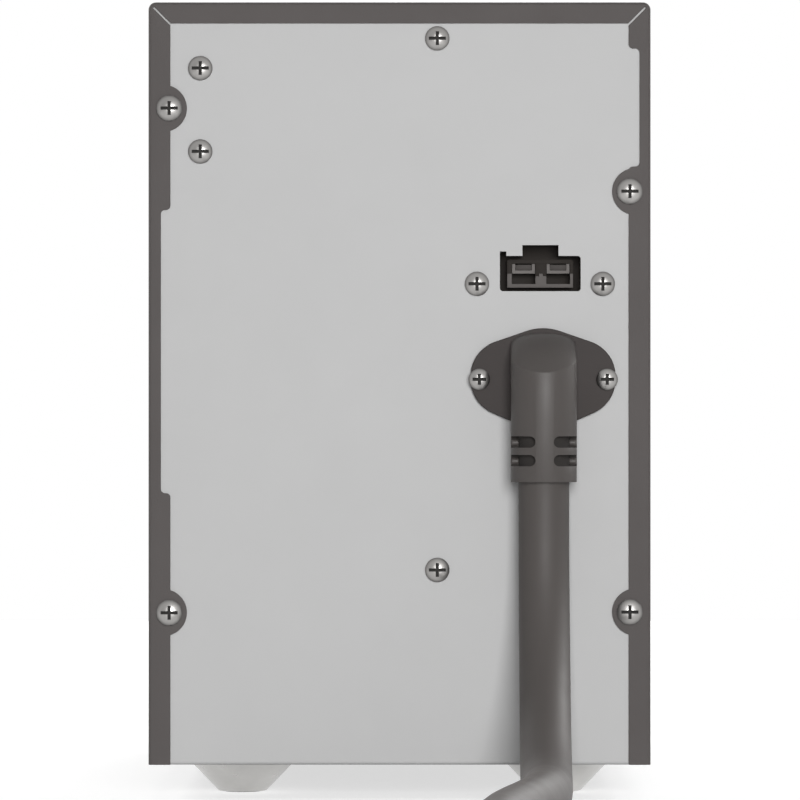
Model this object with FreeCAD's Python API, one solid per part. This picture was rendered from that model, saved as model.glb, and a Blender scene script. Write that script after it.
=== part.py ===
import FreeCAD, Part
import math
import os

# A tower battery cabinet for an uninterruptible power supply, seen from its back at azimuth 0.
# X runs to the right as seen from the back, Y from the rear panel towards the front bezel, Z up.
# The pieces are drawn with y = 0 on the outer face of the rear panel, and moved to the
# centre of the footprint when they are written. All lengths are in millimetres.

V = FreeCAD.Vector
X_AXIS = V(1, 0, 0)
Y_AXIS = V(0, 1, 0)
Z_AXIS = V(0, 0, 1)

# Casing
case_height = 325.0
side_room = 3.6
bezel_depth = 32.0
foot_height = 14.0
cover_sheet = 1.0
chassis_sheet = 1.2
seat_gap = 0.1
cover_gap = 0.3

# Cover
cover_corner = 3.2
rear_fold = 1.4
side_flange = 9.35
top_flange = 9.0
narrow_left = 5.3
narrow_left_rise = 115.8
narrow_left_drop = 88.5
narrow_right = 4.7
narrow_right_drops = (70.0, 19.7)
step_round_out = 1.5
step_round_in = 2.2
tab_radius = 10.0
tab_from_side = 6.4
mitre_width = 0.45
mitre_start = 2.1
flange_chamfer = 1.0
left_tab_drop = 45.2
left_tab_rise = 64.9
right_tab_drop = 80.6
right_tab_rise = 65.2
cover_screw_from_side = 8.9

# Chassis pan
panel_fold = 1.5
base_flange = 12.0
base_flange_relief = 8.0
flange_relief = 1.0
top_return = 12.0
return_relief = 10.0

# Screws
screw_clearance = 0.2
m4_shank = 2.0
m4_length = 7.0
cover_head = 5.5
panel_head = 5.2
elbow_head = 4.55
head_height = 2.6
head_sides = 12
hex_sides = 6
shank_sides = 8

# Places on the rear panel, from its sides, from the top (drop) and from the base (rise)
fuse_screw_from_side = 22.1
fuse_screw_drops = (28.1, 63.6)
stop_from_socket = 16.9
stop_screw_drop = 15.4
stop_screw_rise = 83.1
socket_from_side = 47.0
socket_rise = 209.4
socket_screw_reach = (27.0, 26.6)
socket_screw_lower = 4.4
elbow_from_side = 45.85
elbow_rise = 164.3

# Socket
cutout_width = 34.45
cutout_height = 15.05
cutout_round = 1.3
latch_slot_left = 9.6
latch_slot_width = 15.4
latch_slot_height = 4.6
key_slot_width = 2.75
key_slot_height = 1.9
socket_wall = 2.2
socket_depth = 44.0
shroud_depth = 16.0
nose_width = 28.3
nose_height = 12.15
nose_setback = 5.0
nose_round = 1.0
contact_pitch = 14.75
contact_shift = 0.35
pocket_width = 10.1
pocket_height = 8.7
pocket_depth = 9.0
pocket_floor = 1.7
contact_width = 9.7
contact_sheet = 1.3
contact_rise = 4.1
contact_tail = 9.0
ear_height = 11.0
ear_thick = 4.0
strap_sheet = 1.2
strap_margin = 4.0

# Cable entry
entry_flange_thick = 3.0
entry_flange_radius = 21.8
ear_radius = 15.6
ear_margin = 3.7
entry_screw_spacing = 54.4
elbow_radius = 13.95
elbow_reach = 13.0
arch_top = 19.9
arch_rise = 5.0
arch_corner = 2.8
arch_fall = 17.2
relief_bottom_drop = 43.5
groove_rises = (16.95, 9.1)
groove_width = 4.8
groove_spine = 7.7
groove_core_sides = 24
web_thick = 1.6
bridge_width = 3.4
bridge_height = 3.2
bridge_drop = 0.35
bridge_inset = 0.15
spigot_radius = 13.6
spigot_clearance = 0.5
spigot_depth = 6.0

# Cable and its plug
cable_diameter = 21.5
cable_lift = 0.15
cable_drop = 33.9
cable_turns = (
    (0.05, -10.5, 57.8), (-0.15, -30.4, 30.5), (-0.55, -57.8, 10.5), (-0.95, -90.1, 0.0), (-2.15, -133.9, 0.0),
    (-8.15, -188.9, 0.0), (-17.65, -245.9, 0.0), (-24.15, -298.9, 0.0), (-26.65, -344.9, 0.0),
)
bend_share = 0.45
boot_length = 42.0
boot_width = 39.0
boot_height = 20.6
boot_round = 5.0
boot_straight = 18.0
boot_collar = 9.0
neck_share = 0.7
boot_rib_count = 3
boot_rib_pitch = 5.0
boot_rib_width = 2.4
boot_rib_depth = 1.2
plug_length = 26.0
plug_fit = 0.35
plug_cavity_fit = 0.25
plug_cavity_depth = 18.0
plug_blade_width = 9.0
plug_blade_sheet = 1.4
plug_blade_length = 13.0

# Feet
foot_top_radius = 23.45
foot_bottom_radius = 10.35
foot_from_side = 39.0
foot_from_rear = 45.0
foot_from_front = 40.0
pad_radius = 8.0
pad_thick = 2.2
pad_proud = 0.3
pad_side_gap = 0.1
foot_bore_top = 6.0
foot_screw_head = 4.6
foot_sides = 24
pad_sides = 16

# Batteries
battery_length = 151.0
battery_width = 65.0
battery_height = 94.0
battery_lid = 12.0
battery_waist = 0.5
terminal_inset = 9.0
terminal_post = 9.0
terminal_post_height = 2.5
blade_width = 6.3
blade_sheet = 0.8
blade_height = 3.5
battery_gap = 0.3
centre_gap = 3.0
battery_rows = 2
layers_per_stack = 2
battery_stacks = 2
service_depth = 66.0
foam_thick = 7.9
insulation = 0.8
strap_width = 8.0
link_sheet = 0.8

# Shelf and hold-down
shelf_sheet = 1.5
shelf_gap = 0.2
shelf_bend = 2.0
leg_width = 46.0
leg_foot = 6.0
hold_overlap = 14.0
strap_head = 3.6
strap_head_height = 1.8

# Brackets in the service space
stop_width = 20.0
stop_tab = 20.0
fuse_tab_width = 20.0
fuse_bracket_reach = 54.0
fuse_margin = 10.0
fuse_block_thick = 12.0
fuse_block_depth = 46.0
fuse_block_height = 50.0
fuse_radius = 7.0
fuse_sides = 16
fuse_length = 38.0
fuse_spacing = 24.0
fuse_clip = 3.0
fuse_clip_wall = 1.2

# Front plate and bezel
front_sheet = 1.2
front_flange = 9.0
hook_from_side = 37.0
hook_rise = 46.0
hook_drop = 49.0
hook_width = 14.0
hook_sheet = 2.2
hook_barb = 1.6
hook_reach = 6.0
slot_gap = 0.5
bezel_wall = 2.5
bezel_bow = 5.0
bezel_round = 5.0
bezel_groove_from_side = 23.0
bezel_groove_width = 2.4
bezel_groove_depth = 1.2
bezel_groove_margin = 12.0
bezel_rail_count = 7
bezel_rail_pitch = 11.0
bezel_rail_width = 4.0
bezel_rail_rise = 28.0
blank_width = 112.0
blank_height = 36.0
blank_drop = 77.0

# Worked out from the sizes above: the batteries and their links set the casing's width and depth.
terminal_tip = centre_gap / 2 + battery_height + terminal_post_height + blade_height
half_width = terminal_tip + seat_gap + link_sheet + side_room + cover_sheet
rows_end = service_depth + battery_rows * (battery_length + battery_gap) - battery_gap
steel_depth = rows_end + cover_gap + foam_thick + cover_gap + front_sheet
base_z = foot_height
top_z = foot_height + case_height
narrow_left_low = base_z + narrow_left_rise
narrow_left_high = top_z - narrow_left_drop
narrow_right_low, narrow_right_high = [top_z - drop for drop in narrow_right_drops]
left_tab_heights = (top_z - left_tab_drop, base_z + left_tab_rise)
right_tab_heights = (top_z - right_tab_drop, base_z + right_tab_rise)
fuse_screw_x = fuse_screw_from_side - half_width
fuse_screw_heights = [top_z - drop for drop in fuse_screw_drops]
socket_x = half_width - socket_from_side
socket_z = base_z + socket_rise
socket_screw_x = (socket_x - socket_screw_reach[0], socket_x + socket_screw_reach[1])
socket_screw_z = socket_z - socket_screw_lower
stop_screw_x = socket_screw_x[0] - stop_from_socket
stop_screw_heights = (top_z - stop_screw_drop, base_z + stop_screw_rise)
elbow_x = half_width - elbow_from_side
elbow_z = base_z + elbow_rise
foot_x = half_width - foot_from_side
hook_x = half_width - hook_from_side
hook_heights = (base_z + hook_rise, top_z - hook_drop)
bezel_groove_x = half_width - bezel_groove_from_side
bezel_rail_low = base_z + bezel_rail_rise
blank_low = top_z - blank_drop
cover_rear = -(seat_gap + cover_sheet)
chassis_half = half_width - cover_sheet - cover_gap
panel_top = top_z - cover_sheet - cover_gap
floor_z = base_z + chassis_sheet
panel_inner = chassis_sheet + seat_gap
front_y = steel_depth + bezel_depth
entry_face = -(seat_gap + entry_flange_thick)
elbow_y = entry_face - elbow_reach
elbow_outer = elbow_y - elbow_radius
relief_bottom = elbow_z - relief_bottom_drop
groove_heights = [relief_bottom + rise for rise in groove_rises]
arch_side = arch_top - arch_rise
ear_offset = entry_screw_spacing / 2 + ear_margin - ear_radius
contact_middle = socket_x + contact_shift
cable_radius = cable_diameter / 2
centre_y = (elbow_outer + front_y) / 2
beyond = 1.0

# The cable's route: out of the strain relief, down to the floor and along it, away from the panel.
lie_z = cable_radius + cable_lift
cable_route = [V(elbow_x, elbow_y, relief_bottom), V(elbow_x, elbow_y, relief_bottom - cable_drop)]
cable_route += [V(elbow_x + right, elbow_y + front, lie_z + up) for right, front, up in cable_turns]


def block(x0, x1, y0, y1, z0, z1):
    """A block between two corners."""
    return Part.makeBox(x1 - x0, y1 - y0, z1 - z0, V(x0, y0, z0))


def rod(radius, start, direction, length):
    """A round rod from a point."""
    return Part.makeCylinder(radius, length, start, direction)


def round_edges(solid, radius, axis, chosen=lambda middle: True):
    """Round the straight edges that run along an axis and whose middle is chosen."""
    edges = []
    for edge in solid.Edges:
        straight = edge.Curve.TypeId == "Part::GeomLine"
        if not straight:
            continue
        along = abs(edge.tangentAt(edge.FirstParameter).dot(axis)) > 0.999
        if along and chosen(edge.CenterOfMass):
            edges.append(edge)
    return solid.makeFillet(radius, edges)


def near(x, z):
    """A test for edges along Y that pass through a place on the rear face."""
    return lambda middle: abs(middle.x - x) < 0.05 and abs(middle.z - z) < 0.05


def line(start, end):
    """A straight edge."""
    return Part.LineSegment(start, end).toShape()


def arc(start, middle, end):
    """A round edge through three points."""
    return Part.Arc(start, middle, end).toShape()


def prism(edges, travel):
    """A closed outline pushed along a vector."""
    return Part.Face(Part.Wire(edges)).extrude(travel)


def flat_sided(radius, end_radius, start, direction, length, sides):
    """A rod with flat sides, straight or tapered, for the small parts that repeat."""
    low = []
    high = []
    for index in range(sides):
        turn = 2 * math.pi * index / sides
        low.append(V(radius * math.cos(turn), radius * math.sin(turn), 0))
        high.append(V(end_radius * math.cos(turn), end_radius * math.sin(turn), length))
    faces = [Part.Face(Part.makePolygon(low + low[:1])), Part.Face(Part.makePolygon(high + high[:1]))]
    for a, b, c, d in zip(low, low[1:] + low[:1], high[1:] + high[:1], high):
        faces.append(Part.Face(Part.makePolygon([a, b, c, d, a])))
    solid = Part.makeSolid(Part.makeShell(faces))
    solid.Placement = FreeCAD.Placement(start, FreeCAD.Rotation(Z_AXIS, direction))
    return solid


def screw(seat, direction, head_radius, height, length, sides):
    """A screw whose head sits on a seat and whose shank points along a direction."""
    head = flat_sided(head_radius, head_radius, seat, -direction, height, sides)
    shank = flat_sided(m4_shank, m4_shank, seat, direction, length, shank_sides)
    return head.fuse(shank)


def panel_screws(places, head_radius, seat_y):
    """Round-headed screws through the rear panel, with their heads outside."""
    length = m4_length - seat_y
    seats = [V(x, seat_y, z) for x, z in places]
    return group([screw(seat, Y_AXIS, head_radius, head_height, length, head_sides) for seat in seats])


def group(solids):
    """Like pieces kept in one node as separate solids."""
    return Part.makeCompound(solids)


def cut_all(solid, tools):
    """A solid with several tools taken away."""
    for tool in tools:
        solid = solid.cut(tool)
    return solid


def fuse_all(solids):
    """Several solids joined into one."""
    whole = solids[0]
    for solid in solids[1:]:
        whole = whole.fuse(solid)
    return whole.removeSplitter()


def screw_bore(start, direction, length):
    """A clearance hole for a screw."""
    radius = m4_shank + screw_clearance
    return flat_sided(radius, radius, start, direction, length, shank_sides)


def screw_hole(x, z, y0, y1):
    """A clearance hole along Y for a screw."""
    return screw_bore(V(x, y0, z), Y_AXIS, y1 - y0)


def upright_hole(x, y, low, thick):
    """An upright clearance hole for a screw through a sheet."""
    return screw_bore(V(x, y, low - beyond), Z_AXIS, thick + 2 * beyond)


def tangent_route(points):
    """Straight runs joined by tangent arcs, with the radius of each arc."""
    edges = []
    radii = []
    start = points[0]
    for before, corner, after in zip(points, points[1:], points[2:]):
        into = V(corner - before)
        out = V(after - corner)
        reach = bend_share * min(into.Length, out.Length)
        half_turn = into.getAngle(out) / 2
        radius = reach / math.tan(half_turn)
        into.normalize()
        out.normalize()
        inward = (out - into).normalize()
        enter = corner - into * reach
        leave = corner + out * reach
        middle = corner + inward * (radius / math.cos(half_turn) - radius)
        edges.append(line(start, enter))
        edges.append(arc(enter, middle, leave))
        radii.append(radius)
        start = leave
    edges.append(line(start, points[-1]))
    return Part.Wire(edges), radii


def tube(points, radius):
    """A round tube along a route, its length and its bend radii."""
    path, radii = tangent_route(points)
    heading = V(points[1] - points[0]).normalize()
    section = Part.Wire([Part.makeCircle(radius, points[0], heading)])
    solid = path.makePipeShell([section], True, False)
    return solid, path.Length, radii


# Folded cover
def cover_block(inset, low, front):
    """The cover's outline, rounded at the top corners."""
    half = half_width - inset
    top = top_z - inset
    solid = block(-half, half, cover_rear + inset, front, low, top)
    return round_edges(solid, cover_corner - inset, Y_AXIS, lambda m: m.z > top - beyond)


def tab_centres():
    """The centres of the four screw tabs, as (side, height)."""
    left = [(-1, height) for height in left_tab_heights]
    right = [(1, height) for height in right_tab_heights]
    return left + right


def cover_screw_places():
    """The four cover screws on the rear face, as (x, z)."""
    reach = half_width - cover_screw_from_side
    return [(side * reach, height) for side, height in tab_centres()]


def rear_opening():
    """The opening between the cover's rear flanges, with its steps and screw tabs."""
    y0 = cover_rear - beyond
    y1 = beyond
    side = half_width - side_flange
    left = -(half_width - narrow_left)
    right = half_width - narrow_right
    opening = fuse_all([
        block(-side, side, y0, y1, base_z - beyond, top_z - top_flange),
        block(left, 0, y0, y1, narrow_left_low, narrow_left_high),
        block(0, right, y0, y1, narrow_right_low, narrow_right_high),
    ])
    corners = [(-side, left, narrow_left_low), (-side, left, narrow_left_high)]
    corners += [(side, right, narrow_right_low), (side, right, narrow_right_high)]
    for flange_x, notch_x, height in corners:
        out_radius = step_round_out
        if height == narrow_right_low:
            out_radius = step_round_out / 2
        opening = round_edges(opening, out_radius, Y_AXIS, near(flange_x, height))
        opening = round_edges(opening, step_round_in, Y_AXIS, near(notch_x, height))
    tabs = []
    for hand, height in tab_centres():
        centre = V(hand * (half_width - tab_from_side), y0, height)
        tabs.append(rod(tab_radius, centre, Y_AXIS, y1 - y0))
    return cut_all(opening, tabs)


def mitre_slot(hand):
    """The open mitre between the top flange and a side flange."""
    y0 = cover_rear - beyond
    length = (side_flange + beyond) * math.sqrt(2)
    slot = block(0, length, y0, seat_gap, -mitre_width / 2, mitre_width / 2)
    turn = 45 if hand < 0 else 135
    slot.rotate(V(0, 0, 0), Y_AXIS, turn)
    slot.translate(V(hand * (half_width - mitre_start), 0, top_z - mitre_start))
    return slot


def wrap_cover():
    """Top and sides in one folded sheet, with mitred flanges round the rear panel."""
    outer = cover_block(0, base_z, steel_depth)
    rim = [e for e in outer.Edges if e.CenterOfMass.y < cover_rear + beyond]
    outer = outer.makeFillet(rear_fold, [e for e in rim if e.CenterOfMass.z > base_z + beyond])
    inner = cover_block(cover_sheet, base_z - beyond, steel_depth + beyond)
    shell = outer.cut(inner).cut(rear_opening())
    side = half_width - side_flange
    for hand in (-1, 1):
        shell = shell.cut(mitre_slot(hand))
        corner = near(hand * side, base_z)
        edges = [e for e in shell.Edges if corner(e.CenterOfMass)]
        if hand < 0:
            shell = shell.makeChamfer(flange_chamfer, edges)
        else:
            shell = shell.makeFillet(flange_chamfer, edges)
    holes = [screw_hole(x, z, cover_rear - beyond, beyond) for x, z in cover_screw_places()]
    return cut_all(shell, holes)


# Chassis pan
def socket_cutout(grow, y0, y1):
    """The keyed socket opening, larger all round by a given amount."""
    left = socket_x - cutout_width / 2
    low = socket_z - cutout_height / 2
    high = low + cutout_height
    main = block(left - grow, left + cutout_width + grow, y0, y1, low - grow, high + grow)
    main = round_edges(main, cutout_round + grow, Y_AXIS)
    tab_left = left + latch_slot_left
    tab_right = tab_left + latch_slot_width
    latch = block(tab_left - grow, tab_right + grow, y0, y1, low, high + latch_slot_height + grow)
    key_right = left + key_slot_width + grow
    key_low = low + cutout_height / 2
    key = block(left - grow, key_right, y0, y1, key_low, high + key_slot_height + grow)
    return fuse_all([main, latch, key])


def panel_hole_places():
    """Every screw that passes through the rear panel, as (x, z)."""
    places = cover_screw_places() + fuse_screw_places() + stop_screw_places()
    return places + socket_screw_places() + entry_screw_places()


def fuse_screw_places():
    """The two screws that hold the fuse bracket, as (x, z)."""
    return [(fuse_screw_x, height) for height in fuse_screw_heights]


def stop_screw_places():
    """The two screws that hold the battery stop, as (x, z)."""
    return [(stop_screw_x, height) for height in stop_screw_heights]


def socket_screw_places():
    """The two screws that hold the socket, as (x, z)."""
    return [(x, socket_screw_z) for x in socket_screw_x]


def foot_places():
    """The four feet as (name, x, y)."""
    rear = foot_from_rear
    front = steel_depth - foot_from_front
    return [
        ("rear_left", -foot_x, rear),
        ("rear_right", foot_x, rear),
        ("front_left", -foot_x, front),
        ("front_right", foot_x, front),
    ]


def cover_space():
    """The room inside the cover, with its rounded top corners, that the chassis fits."""
    room = block(-chassis_half, chassis_half, -beyond, front_y, base_z - beyond, panel_top)
    corner = cover_corner - cover_sheet - cover_gap
    return round_edges(room, corner, Y_AXIS, lambda m: m.z > panel_top - beyond)


def chassis_pan():
    """Base and rear panel folded from one sheet, with stiffening flanges."""
    outer = block(-chassis_half, chassis_half, 0, steel_depth, base_z, panel_top)
    outer = round_edges(outer, panel_fold, X_AXIS, lambda m: m.y < beyond)
    outer = round_edges(outer, panel_fold, Y_AXIS, lambda m: m.z < base_z + beyond)
    inner_half = chassis_half - chassis_sheet
    inner = block(-inner_half, inner_half, chassis_sheet, front_y, floor_z, panel_top - chassis_sheet)
    pan = outer.cut(inner)
    flange_end = steel_depth - front_flange - flange_relief
    flange_top = base_z + base_flange
    fold_end = inner_half - panel_fold + chassis_sheet
    return_end = chassis_half - return_relief
    for hand in (-1, 1):
        x0 = min(hand * fold_end, hand * half_width)
        x1 = max(hand * fold_end, hand * half_width)
        pan = pan.cut(block(x0, x1, chassis_sheet, front_y, flange_top, panel_top - chassis_sheet))
        pan = pan.cut(block(x0, x1, chassis_sheet, base_flange_relief, floor_z, flange_top))
        pan = pan.cut(block(x0, x1, flange_end, front_y, floor_z, flange_top))
        corner = hand * (chassis_half - 2 * panel_fold)
        x0 = min(corner, hand * half_width)
        x1 = max(corner, hand * half_width)
        pan = pan.cut(block(x0, x1, -beyond, 2 * panel_fold, 0, base_z + 2 * panel_fold))
        end0 = min(hand * return_end, hand * half_width)
        end1 = max(hand * return_end, hand * half_width)
        pan = pan.cut(block(end0, end1, panel_fold, front_y, panel_top - panel_fold, top_z))
    pan = pan.cut(block(-half_width, half_width, top_return, front_y, panel_top - panel_fold, top_z))
    pan = pan.common(cover_space())
    tools = [screw_hole(x, z, -beyond, chassis_sheet + beyond) for x, z in panel_hole_places()]
    tools.append(socket_cutout(0, -beyond, chassis_sheet + beyond))
    entry = V(elbow_x, -beyond, elbow_z)
    tools.append(rod(spigot_radius + spigot_clearance, entry, Y_AXIS, chassis_sheet + 2 * beyond))
    upright = [(x, y) for name, x, y in foot_places()] + shelf_screw_places() + front_screw_places()
    for x, y in upright:
        tools.append(upright_hole(x, y, base_z, chassis_sheet))
    return cut_all(pan, tools)


# Socket
def socket_body():
    """The moulded socket: a keyed shroud, a nose with two pockets, and screw ears."""
    rear = panel_inner
    back = rear + socket_depth
    body = socket_cutout(socket_wall, rear, back)
    body = body.cut(socket_cutout(0, rear - beyond, rear + shroud_depth))
    nose_low = socket_z - nose_height / 2
    nose_left = socket_x - nose_width / 2
    nose_front = nose_setback
    nose = block(nose_left, nose_left + nose_width, nose_front, rear + shroud_depth + beyond, nose_low,
                 nose_low + nose_height)
    nose = round_edges(nose, nose_round, Y_AXIS)
    ears = []
    for x in socket_screw_x:
        low = socket_screw_z - ear_height / 2
        plate = block(min(x, socket_x), max(x, socket_x), rear, rear + ear_thick, low, low + ear_height)
        boss = rod(ear_height / 2, V(x, rear, socket_screw_z), Y_AXIS, ear_thick)
        ears.append(plate.fuse(boss))
    ears = fuse_all(ears).cut(socket_cutout(0, rear - beyond, rear + shroud_depth))
    body = fuse_all([body, ears, nose])
    tools = [screw_hole(x, socket_screw_z, rear - beyond, rear + ear_thick + beyond) for x in socket_screw_x]
    for centre in contact_centres():
        pocket_low = nose_low + pocket_floor
        half = pocket_width / 2
        pocket_end = nose_front + pocket_depth
        tools.append(block(centre - half, centre + half, nose_front - beyond, pocket_end, pocket_low,
                           pocket_low + pocket_height))
        tail = contact_width / 2 + seat_gap
        level = contact_level()
        tools.append(block(centre - tail, centre + tail, pocket_end - beyond, back + beyond,
                           level - seat_gap, level + contact_sheet + seat_gap))
    return cut_all(body, tools)


def contact_centres():
    """The two poles of the socket, left then right."""
    return [contact_middle - contact_pitch / 2, contact_middle + contact_pitch / 2]


def contact_level():
    """The height of the underside of the socket's contact strips."""
    return socket_z - nose_height / 2 + pocket_floor + pocket_height - contact_rise - seat_gap


def socket_contact(centre):
    """A contact strip with turned-up sides in the nose and a tail behind the housing."""
    half = contact_width / 2
    level = contact_level()
    front = nose_setback + beyond
    pocket_end = nose_setback + pocket_depth - seat_gap
    back = panel_inner + socket_depth + contact_tail
    strip = block(centre - half, centre + half, front, back, level, level + contact_sheet)
    left = block(centre - half, centre - half + contact_sheet, front, pocket_end, level, level + contact_rise)
    right = block(centre + half - contact_sheet, centre + half, front, pocket_end, level, level + contact_rise)
    return fuse_all([strip, left, right])


def socket_bracket():
    """A steel strap behind the socket's ears that takes the two screws."""
    rear = panel_inner + ear_thick + seat_gap
    front = rear + strap_sheet
    end = ear_height / 2
    low = socket_z - cutout_height / 2 - socket_wall - strap_margin
    high = socket_z + cutout_height / 2 + latch_slot_height + socket_wall + strap_margin
    plate = block(socket_screw_x[0] - end, socket_screw_x[1] + end, rear, front, low, high)
    plate = plate.cut(socket_cutout(socket_wall + cover_gap, rear - beyond, front + beyond))
    holes = [screw_hole(x, socket_screw_z, rear - beyond, front + beyond) for x in socket_screw_x]
    return cut_all(plate, holes)


# Cable entry
def entry_screw_places():
    """The two screws through the cable entry's flange, as (x, z)."""
    half = entry_screw_spacing / 2
    return [(elbow_x - half, elbow_z), (elbow_x + half, elbow_z)]


def entry_flange():
    """A plate with the outline of a belt round one large circle and two ears."""
    lean = math.acos((entry_flange_radius - ear_radius) / ear_offset)

    def at(centre_x, radius, angle):
        return V(elbow_x + centre_x + radius * math.cos(angle), entry_face, elbow_z + radius * math.sin(angle))

    big = entry_flange_radius
    top_right = at(0, big, lean)
    top_left = at(0, big, math.pi - lean)
    bottom_left = at(0, big, math.pi + lean)
    bottom_right = at(0, big, -lean)
    left_up = at(-ear_offset, ear_radius, math.pi - lean)
    left_down = at(-ear_offset, ear_radius, math.pi + lean)
    right_down = at(ear_offset, ear_radius, -lean)
    right_up = at(ear_offset, ear_radius, lean)
    edges = [
        arc(top_right, at(0, big, math.pi / 2), top_left),
        line(top_left, left_up),
        arc(left_up, at(-ear_offset, ear_radius, math.pi), left_down),
        line(left_down, bottom_left),
        arc(bottom_left, at(0, big, -math.pi / 2), bottom_right),
        line(bottom_right, right_down),
        arc(right_down, at(ear_offset, ear_radius, 0), right_up),
        line(right_up, top_right),
    ]
    return prism(edges, V(0, entry_flange_thick, 0))


def vault():
    """A three-centred arch with straight sides, leaning forwards and down from the panel."""
    lean = math.atan2(arch_fall, entry_face - elbow_outer)
    half = elbow_radius + seat_gap
    rise = arch_rise * math.cos(lean)
    across = half - arch_corner
    crown = (across ** 2 + rise ** 2 - arch_corner ** 2) / (2 * (rise - arch_corner))
    meet = math.asin(across / (crown - arch_corner))
    middle = (math.pi / 2 - meet) / 2
    low = -2 * relief_bottom_drop

    def corner(hand, angle):
        return V(hand * (across + arch_corner * math.cos(angle)), 0, arch_corner * math.sin(angle))

    right = corner(1, math.pi / 2 - meet)
    left = corner(-1, math.pi / 2 - meet)
    outline = [
        line(V(-half, 0, low), V(half, 0, low)),
        line(V(half, 0, low), V(half, 0, 0)),
        arc(V(half, 0, 0), corner(1, middle), right),
        arc(right, V(0, 0, rise), left),
        arc(left, corner(-1, middle), V(-half, 0, 0)),
        line(V(-half, 0, 0), V(-half, 0, low)),
    ]
    solid = prism(outline, V(0, -2 * relief_bottom_drop, 0))
    solid.translate(V(0, elbow_reach, 0))
    solid.rotate(V(0, 0, 0), X_AXIS, math.degrees(lean))
    solid.translate(V(elbow_x, entry_face, elbow_z + arch_side))
    return solid


def groove(height, hand, face):
    """A round-ended slot in the strain relief, on one side of its spine and one face of its web."""
    radius = groove_width / 2
    span = elbow_radius + beyond
    near_web = elbow_y + face * web_thick / 2
    y0 = min(near_web, near_web + face * span)
    end = elbow_x + hand * (groove_spine / 2 + radius)
    edge = elbow_x + hand * span
    slot = block(min(end, edge), max(end, edge), y0, y0 + span, height - radius, height + radius)
    slot = slot.fuse(rod(radius, V(end, y0, height), Y_AXIS, span))
    core = flat_sided(cable_radius, cable_radius, V(elbow_x, elbow_y, height - groove_width), Z_AXIS,
                      2 * groove_width, groove_core_sides)
    return slot.cut(core)


def bridge(height, hand):
    """A rounded bar that ties two rings of the strain relief together at its side."""
    low = height - bridge_drop - bridge_height / 2
    ring = rod(elbow_radius - bridge_inset, V(elbow_x, elbow_y, low), Z_AXIS, bridge_height)
    inner = elbow_x + hand * (elbow_radius - bridge_width)
    edge = elbow_x + hand * (elbow_radius + beyond)
    side = block(min(inner, edge), max(inner, edge), elbow_outer, elbow_y + elbow_radius, low,
                 low + bridge_height)
    return ring.common(side)


def cable_elbow():
    """The moulded cable entry: flange, right-angle elbow under a sloping arch, slotted strain relief."""
    flange = entry_flange()
    upright = rod(elbow_radius, V(elbow_x, elbow_y, relief_bottom), Z_AXIS, arch_top + relief_bottom_drop)
    left = elbow_x - elbow_radius
    boss = block(left, left + 2 * elbow_radius, elbow_y, entry_face, elbow_z, elbow_z + arch_top)
    throat = rod(elbow_radius, V(elbow_x, elbow_y, elbow_z), Y_AXIS, elbow_reach)
    body = fuse_all([upright, boss, throat]).common(vault())
    behind = block(left - beyond, left + 3 * elbow_radius, -seat_gap, elbow_radius, relief_bottom, panel_top)
    body = body.cut(behind)
    spigot = rod(spigot_radius, V(elbow_x, entry_face + seat_gap, elbow_z), Y_AXIS, spigot_depth - entry_face)
    whole = fuse_all([body, flange, spigot])
    for height in groove_heights:
        for hand in (-1, 1):
            whole = whole.cut(groove(height, hand, -1)).cut(groove(height, hand, 1))
            whole = whole.fuse(bridge(height, hand))
    whole = whole.removeSplitter()
    holes = [screw_hole(x, z, entry_face - beyond, beyond) for x, z in entry_screw_places()]
    return cut_all(whole, holes)


# Plug on the end of the cable
def place_at_cable_end(solid):
    """Turn a piece drawn along +Y from the origin so that it goes on from the cable's end."""
    heading = V(cable_route[-1] - cable_route[-2])
    angle = math.degrees(math.atan2(heading.y, heading.x)) - 90
    solid.rotate(V(0, 0, 0), Z_AXIS, angle)
    solid.translate(cable_route[-1])
    return solid


def plug_boot():
    """The moulded grip: a collar where the cable enters, a flared neck and a ribbed block."""
    swell = boot_length - boot_straight
    half = boot_height / 2
    collar = flat_sided(half, half, V(0, 0, 0), Y_AXIS, swell, head_sides)
    mouth = half * neck_share
    wide = (boot_width - boot_round) / 2
    tall = (boot_height - boot_round) / 2
    neck = Part.makeWedge(-mouth, boot_collar, -mouth, -tall, -wide, mouth, swell, mouth, tall, wide)
    body = block(-boot_width / 2, boot_width / 2, swell, boot_length, -half, half)
    body = round_edges(body, boot_round, Y_AXIS)
    whole = fuse_all([neck, body, collar])
    for index in range(boot_rib_count):
        y0 = swell + boot_rib_width + index * boot_rib_pitch
        for hand in (-1, 1):
            edge = hand * boot_width / 2
            inner = edge - hand * boot_rib_depth
            x0 = min(edge, inner)
            x1 = max(edge, inner)
            whole = whole.cut(block(x0, x1, y0, y0 + boot_rib_width, -boot_height, boot_height))
    return place_at_cable_end(whole.removeSplitter())


def plug_shell():
    """The plug's shell, which fits the socket's keyed opening and slips over its nose."""
    start = boot_length
    end = boot_length + plug_length
    shell = socket_cutout(-plug_fit, start, end)
    shell.translate(V(-socket_x, 0, -socket_z))
    half = nose_width / 2 + plug_cavity_fit
    rise = nose_height / 2 + plug_cavity_fit
    cavity = block(-half, half, end - plug_cavity_depth, end + beyond, -rise, rise)
    cavity = round_edges(cavity, nose_round, Y_AXIS)
    shell = shell.cut(cavity)
    return place_at_cable_end(shell)


def plug_blade(centre):
    """One of the plug's two flat blades."""
    root = boot_length + plug_length - plug_cavity_depth
    tip = root + plug_blade_length
    level = contact_level() - socket_z - plug_blade_sheet - seat_gap
    half = plug_blade_width / 2
    middle = centre - socket_x
    blade = block(middle - half, middle + half, root, tip, level, level + plug_blade_sheet)
    return place_at_cable_end(blade)


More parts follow.
